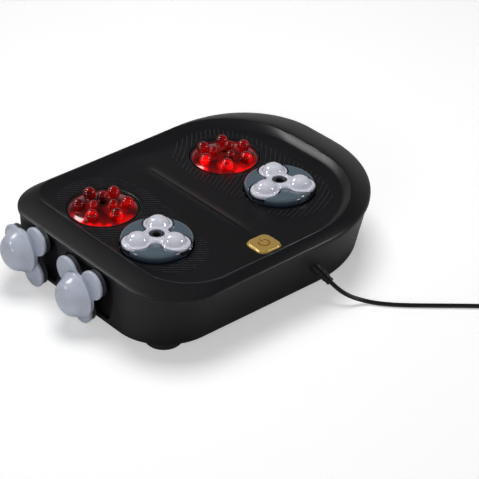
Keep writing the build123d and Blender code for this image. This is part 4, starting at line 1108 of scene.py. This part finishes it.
@dataclass
class HeelHead:
    """A slate disc with a white three-lobed kneader in its wells."""

    side: str
    angle: float
    disc_r: float = 40.1
    disc_top: float = 87.0
    disc_bottom: float = 73.0
    disc_plate: float = 5.0
    shoulder: float = 4.0
    rim_wall: float = 3.0
    well_floor: float = 78.8
    clearance: float = 1.8
    reach: float = 24.6
    lobe_r: float = 16.4
    waist_r: float = 15.4
    base: float = 83.2
    plate: float = 4.4
    hub_rise: float = 3.0
    hub_r: float = 23.0
    edge_r: float = 2.2
    foot_edge: float = 0.8
    ball_reach: float = 22.9
    ball_r: float = 14.3
    ball_z: float = 83.1
    ball_blend: float = 2.4
    recess_r: float = 9.2
    recess_depth: float = 2.6
    recess_edge: float = 0.3
    hole_r: float = 5.0
    skin_steps: int = 56

    @property
    def recess_top(self) -> float:
        """The height of the recess's upper edge."""
        return self.base + self.plate + self.hub_rise - self.recess_edge

    def disc(self) -> Mesh:
        """The slate disc with its rolled shoulder and three wells.

        Returns:
            The mesh, about the head's axis.
        """
        inner, under = self.disc_r - self.rim_wall, self.disc_bottom + self.disc_plate
        profile = [(0, under), (inner, under), (inner, self.disc_bottom), (self.disc_r, self.disc_bottom)]
        profile += arc(self.disc_r - self.shoulder, self.disc_top - self.shoulder, self.shoulder, 0, 90, 8)
        profile.append((0, self.disc_top))
        wells = three_lobes(self.reach, self.lobe_r + self.clearance, self.waist_r + self.clearance)
        disc = carved(turned(profile, 120), prism(wells, self.well_floor, self.disc_top + 8))
        return softened(disc, 0.55, 50)

    def height(self, x: float, y: float, from_edge: float) -> float:
        """The kneader's upper surface.

        Args:
            x: Place on the kneader, from its middle.
            y: The other way.
            from_edge: Distance from the kneader's outer edge.

        Returns:
            The height there.
        """
        down = (math.hypot(x, y) - self.recess_r) / (self.hub_r - self.recess_r)
        top = self.base + self.plate + self.hub_rise * eased(1 - down)
        if from_edge < self.edge_r:
            drop = self.edge_r - from_edge
            top += math.sqrt(max(self.edge_r ** 2 - drop ** 2, 0)) - self.edge_r
        for ball_x, ball_y in around(3, 0, self.ball_reach):
            away = math.hypot(x - ball_x, y - ball_y)
            if away < self.ball_r:
                top = soft_max(top, self.ball_z + math.sqrt(self.ball_r ** 2 - away ** 2), self.ball_blend)
        return top

    def kneader(self) -> Mesh:
        """The white kneader: three domed lobes round a sunk ring and a hole.

        Returns:
            The mesh, about the head's axis.
        """
        outline = three_lobes(self.reach, self.lobe_r, self.waist_r, 26)

        def circle(radius: float, z: float) -> list[Vector]:
            """A level ring whose places lie on the ways to the outline's."""
            return [Vector((*(Vector(place).normalized() * radius), z)) for place in outline]

        def scaled(inset: float, z: float) -> list[Vector]:
            """The outline at a height, moved in toward the middle."""
            return [Vector((*(Vector(place) * (1 - inset / math.hypot(*place))), z)) for place in outline]

        rings = [
            circle(self.hole_r, self.base), scaled(self.foot_edge, self.base), scaled(0, self.base + self.foot_edge)
        ]
        inner = circle(self.recess_r, 0)
        for step in range(self.skin_steps + 1):
            share = (step / self.skin_steps) ** 1.35
            ring = []
            for (x, y), end in zip(outline, inner):
                px, py = mixed(x, end.x, share), mixed(y, end.y, share)
                ring.append(Vector((px, py, self.height(px, py, math.hypot(px - x, py - y)))))
            rings.append(ring)
        top, low = self.recess_top, self.recess_top - self.recess_depth
        for radius, z in (
            (self.recess_r - 0.5, top - 0.3), (self.recess_r - 0.7, low), (self.hole_r + 0.9, low),
            (self.hole_r, low - 0.8), (self.hole_r, self.base),
        ):
            rings.append(circle(radius, z))
        return lofted(rings, capped=False)

    def centre_ring(self) -> Mesh:
        """The grey ring in the kneader's recess and the sleeve that lines its hole.

        Returns:
            The mesh, about the head's axis.
        """
        low, foot = self.recess_top - self.recess_depth, self.base + 0.2
        profile = [
            (self.hole_r - 0.3, foot), (self.hole_r - 0.05, foot), (self.hole_r - 0.05, low),
            (self.recess_r - 0.9, low), (self.recess_r - 0.9, low + 1.0), (self.recess_r - 1.5, low + 1.6),
            (self.hole_r + 0.5, low + 1.6), (self.hole_r - 0.3, low + 0.9),
        ]
        return turned(profile + profile[:1], 64)

    def build(self, wardrobe: Wardrobe) -> None:
        """Builds the disc, the kneader and the ring.

        Args:
            wardrobe: Hands out the materials.
        """
        side, body = self.side, f"{self.side}_white_head"
        for name, slot, node, bm, finish, sharp in (
            (f"{side}_slate_disc", "slate", (f"{side}_white_disc",), self.disc(), SLATE, 44),
            (f"{side}_pearl_kneader", "pearl", (f"{side}_white_kneader",), self.kneader(), PEARL, 60),
            (f"{side}_kneader_ring", "slate", (), self.centre_ring(), RING, 38),
        ):
            turn = self.angle if node else 0.0
            Piece(name, body, slot, node).settle(moved(bm, BED_MIDS[side], HEEL_Y, 0, turn), wardrobe, finish, sharp)


@dataclass
class ToeHead:
    """A red cap with a painted glow and round nodes, in its turning ring."""

    side: str
    outer_angle: float
    inner_angle: float
    rim_r: float = 38.35
    rim_top: float = 76.6
    rim_bottom: float = 74.0
    cap_height: float = 7.6
    cap_wall: float = 2.4
    cap_steps: int = 14
    hole_r: float = 4.25
    outer_reach: float = 27.2
    outer_r: float = 7.4
    outer_z: float = 82.0
    inner_reach: float = 12.8
    inner_r: float = 5.9
    inner_z: float = 84.6
    rim_edge: float = 1.1

    def cap(self) -> Mesh:
        """The red cap with its nodes.

        Returns:
            The mesh, about the head's axis.
        """
        ball_r = (self.rim_r ** 2 + self.cap_height ** 2) / (2 * self.cap_height)
        middle = self.rim_top + self.cap_height - ball_r
        outer, inner = [], []
        for step in range(self.cap_steps + 1):
            radius = mixed(self.rim_r, self.hole_r, step / self.cap_steps)
            outer.append((radius, middle + math.sqrt(ball_r ** 2 - radius ** 2)))
            radius = mixed(self.hole_r, self.rim_r - self.cap_wall, step / self.cap_steps)
            inner.append((radius, middle + math.sqrt((ball_r - self.cap_wall) ** 2 - radius ** 2)))
        profile = [(self.rim_r - self.cap_wall, self.rim_bottom), (self.rim_r, self.rim_bottom)]
        profile += arc(self.rim_r - self.rim_edge, self.rim_top - self.rim_edge, self.rim_edge, 0, 72, 4)
        profile += [place for place in outer if place[0] < self.rim_r - self.rim_edge] + inner
        places = [(place, self.outer_r, self.outer_z) for place in around(6, self.outer_angle, self.outer_reach)]
        places += [(place, self.inner_r, self.inner_z) for place in around(3, self.inner_angle, self.inner_reach)]
        balls = []
        for (x, y), radius, z in places:
            ball = bmesh.new()
            bmesh.ops.create_uvsphere(ball, u_segments=32, v_segments=20, radius=radius)
            balls.append(moved(ball, x, y, z))
        return carved(turned(profile + profile[:1]), joined(balls), Carve.JOIN)

    def build(self, wardrobe: Wardrobe) -> None:
        """Builds the cap."""
        finish = RED if self.side == "left" else FAR_RED
        # The cap's material paints its glow as emission
        piece = Piece(f"{self.side}_painted_glow_cap", f"{self.side}_red_head", "red_lens", (f"{self.side}_red_cap",))
        piece.settle(moved(self.cap(), BED_MIDS[self.side], TOE_Y), wardrobe, finish, 30)


# Side heads


@dataclass
class SideHead:
    """A grey bell dome on a three-lobed paddle, which turns on the left wall."""

    end: str
    y: float
    angle: float
    z: float = 43.5
    base: float = 6.5
    paddle_plate: float = 5.0
    reach: float = 25.4
    lobe_r: float = 16.8
    waist_r: float = 15.6
    step: float = 4.4
    step_inset: float = 2.2
    dome_r: float = 26.6
    dome_depth: float = 20.4
    offset: Flat = (-2.9, -4.6)
    # The dome's section from its nose to its widest place, as shares of its radius and depth
    nose: tuple[Flat, ...] = (
        (0.0, 1.0), (0.2, 0.995), (0.38, 0.972), (0.53, 0.915), (0.64, 0.82), (0.72, 0.7), (0.78, 0.57),
        (0.825, 0.44), (0.87, 0.32), (0.92, 0.21), (0.96, 0.14), (0.99, 0.09), (1.0, 0.045),
    )
    under_rim: tuple[Flat, ...] = ((0.99, 0.012), (0.97, 0.0))

    def paddle(self) -> Mesh:
        """The three-lobed paddle with rounded edges."""
        outline = three_lobes(self.reach, self.lobe_r, self.waist_r, 24)
        plate = softened(prism(outline, self.base, self.base + self.paddle_plate), 1.7, 50, 4)
        return moved(plate, 0, 0, 0, 180 - self.angle)

    def dome(self) -> Mesh:
        """The bell dome with its rounded rim.

        Returns:
            The mesh, in the head's own frame.
        """
        back = self.base + self.paddle_plate
        rim = back + self.step
        profile = smoothed([(self.dome_r * across, rim + self.dome_depth * depth) for across, depth in self.nose])
        profile += [(self.dome_r * across, rim + self.dome_depth * depth) for across, depth in self.under_rim]
        foot = self.dome_r - self.step_inset
        across, up = self.offset
        return moved(turned([*profile, (foot, rim), (foot, back), (0, back)]), -across, up)

    def build(self, wardrobe: Wardrobe) -> None:
        """Builds the paddle and the dome, whose own frame has z out of the left wall and y up.

        Args:
            wardrobe: Hands out the materials.
        """
        axes = Matrix(((0, 0, -1), (-1, 0, 0), (0, 1, 0))).to_4x4()
        frame = Matrix.Translation((LIP.left, self.y, self.z)) @ axes
        for part, bm in (("paddle", self.paddle()), ("dome", self.dome())):
            piece = Piece(
                f"{self.end}_grey_{part}", f"{self.end}_side_head", "pale_grey", (f"{self.end}_side_{part}",)
            )
            piece.settle(placed(bm, frame), wardrobe, PALE, 50)


def smoothed(points: Sequence[Flat], steps: int = 4) -> list[Flat]:
    """A smooth line through points.

    Args:
        points: The points.
        steps: How many steps each stretch between two points has.

    Returns:
        The line's places.
    """
    found = [points[0]]
    last = len(points) - 1
    for index in range(last):
        around_here = (points[max(index - 1, 0)], points[index], points[index + 1], points[min(index + 2, last)])
        for step in range(1, steps + 1):
            t = step / steps
            weights = (
                -0.5 * t ** 3 + t ** 2 - 0.5 * t, 1.5 * t ** 3 - 2.5 * t ** 2 + 1,
                -1.5 * t ** 3 + 2 * t ** 2 + 0.5 * t, 0.5 * t ** 3 - 0.5 * t ** 2,
            )
            x, y = (sum(weight * point[axis] for weight, point in zip(weights, around_here)) for axis in (0, 1))
            found.append((x, y))
    return found


@dataclass
class PowerButton:
    """The gold square button with its printed power sign."""

    size: float = 31.5
    corner: float = 8.5
    bottom: float = 71.7
    top: float = 80.7
    edge: float = 1.6
    crown_drop: float = 1.1
    edge_steps: int = 6
    crown_steps: int = 9
    sign_r: float = 6.0
    sign_line: float = 1.25
    sign_gap: float = 70.0
    sign_span: Flat = (-0.2, 0.12)
    bar_span: Flat = (2.6, 7.6)

    def crown(self, x: float, y: float) -> float:
        """The height of the crowned top at a place from its middle."""
        return self.top - self.crown_drop * (x * x + y * y) / (2 * (self.size / 2) ** 2)

    def block(self) -> Mesh:
        """The button's block with rounded edges and a low crown.

        Returns:
            The mesh, in the model's frame.
        """
        half = self.size / 2
        square = Outline(-half, -half, half, half, *[self.corner] * 4)
        shoulder = self.top - self.edge - self.crown_drop
        rings = [[Vector((x, y, z)) for x, y in square.places(10, 6)] for z in (self.bottom, shoulder)]
        for step in range(1, self.edge_steps + 1):
            share = step / self.edge_steps
            turn = math.radians(90 * share)
            inset, drop = self.edge * (1 - math.cos(turn)), self.edge * (1 - math.sin(turn))
            rings.append([
                Vector((x, y, mixed(shoulder, self.crown(x, y) - drop, share)))
                for x, y in square.inset(inset).places(10, 6)
            ])
        for step in range(1, self.crown_steps):
            share = 1 - step / self.crown_steps
            rings.append([
                Vector((x * share, y * share, self.crown(x * share, y * share)))
                for x, y in square.inset(self.edge).places(10, 6)
            ])
        return moved(lofted(rings), *BUTTON)

    def sign(self) -> Mesh:
        """The power sign: an open ring and a bar, a hair above the crown.

        Returns:
            The mesh, in the model's frame.
        """
        half = self.sign_line / 2
        low, high = self.sign_span
        section = ((-half, low), (half, low), (half, high), (-half, high))
        bm = bmesh.new()
        face = bm.faces.new([bm.verts.new((self.sign_r + across, 0, up)) for across, up in section])
        bmesh.ops.spin(
            bm, geom=[face], cent=(0, 0, 0), axis=(0, 0, 1), angle=math.radians(360 - self.sign_gap), steps=40,
            use_merge=False, use_duplicate=False,
        )
        bmesh.ops.recalc_face_normals(bm, faces=bm.faces)
        start, end = self.bar_span
        bar = prism([(-half, start), (half, start), (half, end), (-half, end)], low, high)
        whole = joined([moved(bm, 0, 0, 0, 90 + self.sign_gap / 2), bar])
        for vert in whole.verts:
            vert.co.z += self.crown(vert.co.x, vert.co.y)
        return moved(whole, *BUTTON)

    def build(self, wardrobe: Wardrobe) -> None:
        """Builds the button and its sign."""
        Piece("gold_button", "power_button", "gold", ("power_button",)).settle(self.block(), wardrobe, GOLD, 60)
        Piece("power_sign", "power_button", "gold").settle(self.sign(), wardrobe, SIGN)


# Studio


class Seen(Enum):
    """Which surfaces a lamp is for."""

    GLOSSY = "glossy"
    MATT = "matt"


@dataclass(frozen=True)
class Lamp:
    """A square soft box that faces the massager, with its side in millimetres and its power in watts."""

    name: str
    place: Spot
    size: float
    watts: float
    seen: Seen = Seen.GLOSSY

    def hang(self) -> None:
        """Adds the lamp to the scene."""
        data = bpy.data.lights.new(self.name, "AREA")
        data.shape = "SQUARE"
        data.size = self.size * MM
        data.energy = self.watts
        lamp = linked(self.name, data)
        lamp.location = Vector(self.place) * MM
        lamp.rotation_euler = (Vector((0, 0, 60)) - Vector(self.place)).to_track_quat("-Z", "Y").to_euler()
        lamp.visible_glossy = self.seen is Seen.GLOSSY
        lamp.visible_diffuse = self.seen is Seen.MATT


# Two large boxes light the body. The panels only make the highlights, the small ones those of the heads' balls.
LAMPS = (
    Lamp("top box", (200, 260, 1600), 900, 18, Seen.MATT),
    Lamp("left box", (-1500, -900, 700), 700, 7.5, Seen.MATT),
    Lamp("far panel", (-300, 1050, 1220), 440, 9),
    Lamp("left upper panel", (-1093, 754, 909), 200, 4.2),
    Lamp("right upper panel", (946, -926, 909), 200, 4.2),
    Lamp("left lower panel", (-1550, 283, 220), 240, 2.5),
    Lamp("right lower panel", (560, -1454, 220), 240, 2.5),
)


@dataclass
class Studio:
    """The camera, the lamps, the world and the floor, at the photograph's viewing angle."""

    eye: Spot = (-1231.4, -1452.3, 1248.3)
    azimuth: float = -39.5
    elevation: float = 31.7
    lens: float = 150.3
    shift: Flat = (0.128, -0.073)
    floor_size: float = 9000.0
    paper_glow: float = 0.42
    overhead: float = 0.07
    horizon: float = 0.5
    horizon_span: Flat = (0.1, 0.42)

    def camera(self) -> None:
        """Makes the camera and sets it as the scene's."""
        data = bpy.data.cameras.new("camera")
        data.lens = self.lens
        data.sensor_width = 36.0
        data.shift_x, data.shift_y = self.shift
        data.clip_end = 100.0
        camera = linked("camera", data)
        camera.location = Vector(self.eye) * MM
        camera.rotation_euler = (math.radians(90 - self.elevation), 0, math.radians(self.azimuth))
        bpy.context.scene.camera = camera

    def world(self) -> None:
        """Makes a world that is dark overhead and bright behind the floor's edge."""
        world = bpy.data.worlds.new("studio")
        world.use_nodes = True
        tree = world.node_tree
        tree.nodes.clear()
        way = add_node(tree, "ShaderNodeTexCoord").outputs["Object"]
        height = add_node(tree, "ShaderNodeSeparateXYZ", None, {0: way}).outputs["Z"]
        strength = remapped(tree, height, *self.horizon_span, self.horizon, self.overhead, True)
        light = add_node(tree, "ShaderNodeBackground", {"Color": (1, 1, 1, 1)}, {"Strength": strength})
        add_node(tree, "ShaderNodeOutputWorld", None, {"Surface": light.outputs["Background"]})
        bpy.context.scene.world = world

    def floor(self) -> None:
        """Makes a pale floor that shows white where no shadow falls."""
        bm = bmesh.new()
        bmesh.ops.create_grid(bm, x_segments=1, y_segments=1, size=self.floor_size * MM / 2)
        mesh = bpy.data.meshes.new("studio_floor")
        bm.to_mesh(mesh)
        bm.free()
        floor = linked("studio_floor", mesh)
        material, tree = new_material("studio floor paper")
        rays = add_node(tree, "ShaderNodeLightPath").outputs
        seen = maths(tree, "MAXIMUM", rays["Is Camera Ray"], rays["Is Transmission Ray"])
        lift = maths(tree, "MULTIPLY", seen, self.paper_glow)
        paper = add_node(tree, "ShaderNodeBsdfDiffuse", {"Color": linear("e6e6e6")})
        glow = add_node(tree, "ShaderNodeEmission", {"Color": (1, 1, 1, 1)}, {"Strength": lift})
        both = add_node(tree, "ShaderNodeAddShader", None, {0: paper.outputs[0], 1: glow.outputs[0]})
        add_node(tree, "ShaderNodeOutputMaterial", None, {"Surface": both.outputs[0]})
        mesh.materials.append(material)

    def build(self) -> None:
        """Builds the whole studio."""
        bpy.context.scene.view_settings.view_transform = "Standard"
        self.camera()
        self.world()
        self.floor()
        for lamp in LAMPS:
            lamp.hang()


# Mains lead


@dataclass
class MainsLead:
    """The round two-core lead, from its strain relief along the floor into a coil with a plug."""

    diameter: float = 5.0
    root: Spot = (48.0, -137.3, 38.0)
    heading: Spot = (0.25, -0.81, -0.53)
    relief_length: float = 23.0
    first_run: float = 12.4
    route: Sequence[Spot] = (
        (65.2, -175.6, 12.2), (76.0, -180.4, 5.9), (84.8, -187.5, 2.5), (91.2, -196.6, 2.5),
        (105.4, -212.4, 2.5), (136.0, -238.6, 2.5), (171.3, -268.4, 2.5), (206.6, -301.2, 2.5),
    )
    coil_turns: int = 9
    coil_mean_radius: float = 27.5
    coil_side_gap: float = 1.9
    coil_layer_gap: float = 0.5
    coil_tail: float = 26.0
    coil_steps: int = 14
    real_length: float = 1811.0

    def along(self, distance: float) -> Vector:
        """The point at a distance from the relief's root, along the way that the lead leaves."""
        return Vector(self.root) + Vector(self.heading).normalized() * distance

    def coil_points(self) -> list[Vector]:
        """The coil's control points: inward on the floor, up a layer, outward again, and out to the plug.

        Returns:
            The points after the route's last one.
        """
        end = Vector(self.route[-1])
        ahead = (end - Vector(self.route[-2])).normalized()
        aside = Vector((-ahead.y, ahead.x, 0.0))
        inward = self.coil_turns - 1
        step = (self.diameter + self.coil_side_gap) / 2
        layer = self.diameter + self.coil_layer_gap
        outer = self.coil_mean_radius + step * inward / 2
        start = end + ahead * self.diameter
        found = []
        half_steps = self.coil_steps // 2
        for index in range(1, 2 * self.coil_turns * half_steps + 1):
            halves = index / half_steps
            steps_in = min(halves, inward, 2 * inward + 1 - halves)
            # The control points of a smooth curve stand a little outside its turns
            radius = (outer - step * steps_in) / math.cos(math.pi / self.coil_steps)
            turn = math.pi * (halves - 0.5)
            across = ahead * radius * math.cos(turn) + aside * (radius * math.sin(turn) + outer)
            found.append(start + across + Vector((0, 0, layer * eased(halves - inward))))
        return [*found, start + ahead * self.coil_tail + Vector((0, 0, layer))]

    def build(self, wardrobe: Wardrobe, nodes: dict[str, bpy.types.Object]) -> None:
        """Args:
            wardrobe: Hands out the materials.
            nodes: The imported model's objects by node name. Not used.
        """
        points = [self.along(self.relief_length), self.along(self.relief_length + self.first_run)]
        points += [Vector(point) for point in self.route] + self.coil_points()
        data = round_curve("mains_lead", self.diameter / 2, 5, [points], "NURBS")
        data.resolution_u = 6
        data.splines[0].order_u = 3
        data.splines[0].use_endpoint_u = True
        lead = linked("mains_lead", data)
        data.materials.append(wardrobe.material(PVC))
        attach(lead, "housing")
        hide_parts("cord", "cord_coil")
        tuple(self.along(self.relief_length) * MM)
        LOG.info("lead: %d control points", len(points))


def main() -> None:
    """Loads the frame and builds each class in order."""
    logging.basicConfig(level=logging.INFO, format="%(message)s")
    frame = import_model()
    wardrobe = Wardrobe()
    Studio().build()
    MainsLead().build(wardrobe, frame["nodes"])
    HousingCover().build(wardrobe)
    for side, angle in (("left", 48.0), ("right", 66.0)):
        HeelHead(side, angle).build(wardrobe)
    for side, outer, inner in (("left", 26.0, 56.0), ("right", 56.0, 24.0)):
        ToeHead(side, outer, inner).build(wardrobe)
    SideHead("toe", 83.3, 9.0, offset=(3.6, 2.4)).build(wardrobe)
    SideHead("heel", -11.7, -94.0).build(wardrobe)
    PowerButton().build(wardrobe)
    wardrobe.dress_nodes(frame["nodes"])


if __name__ == "__main__":
    main()
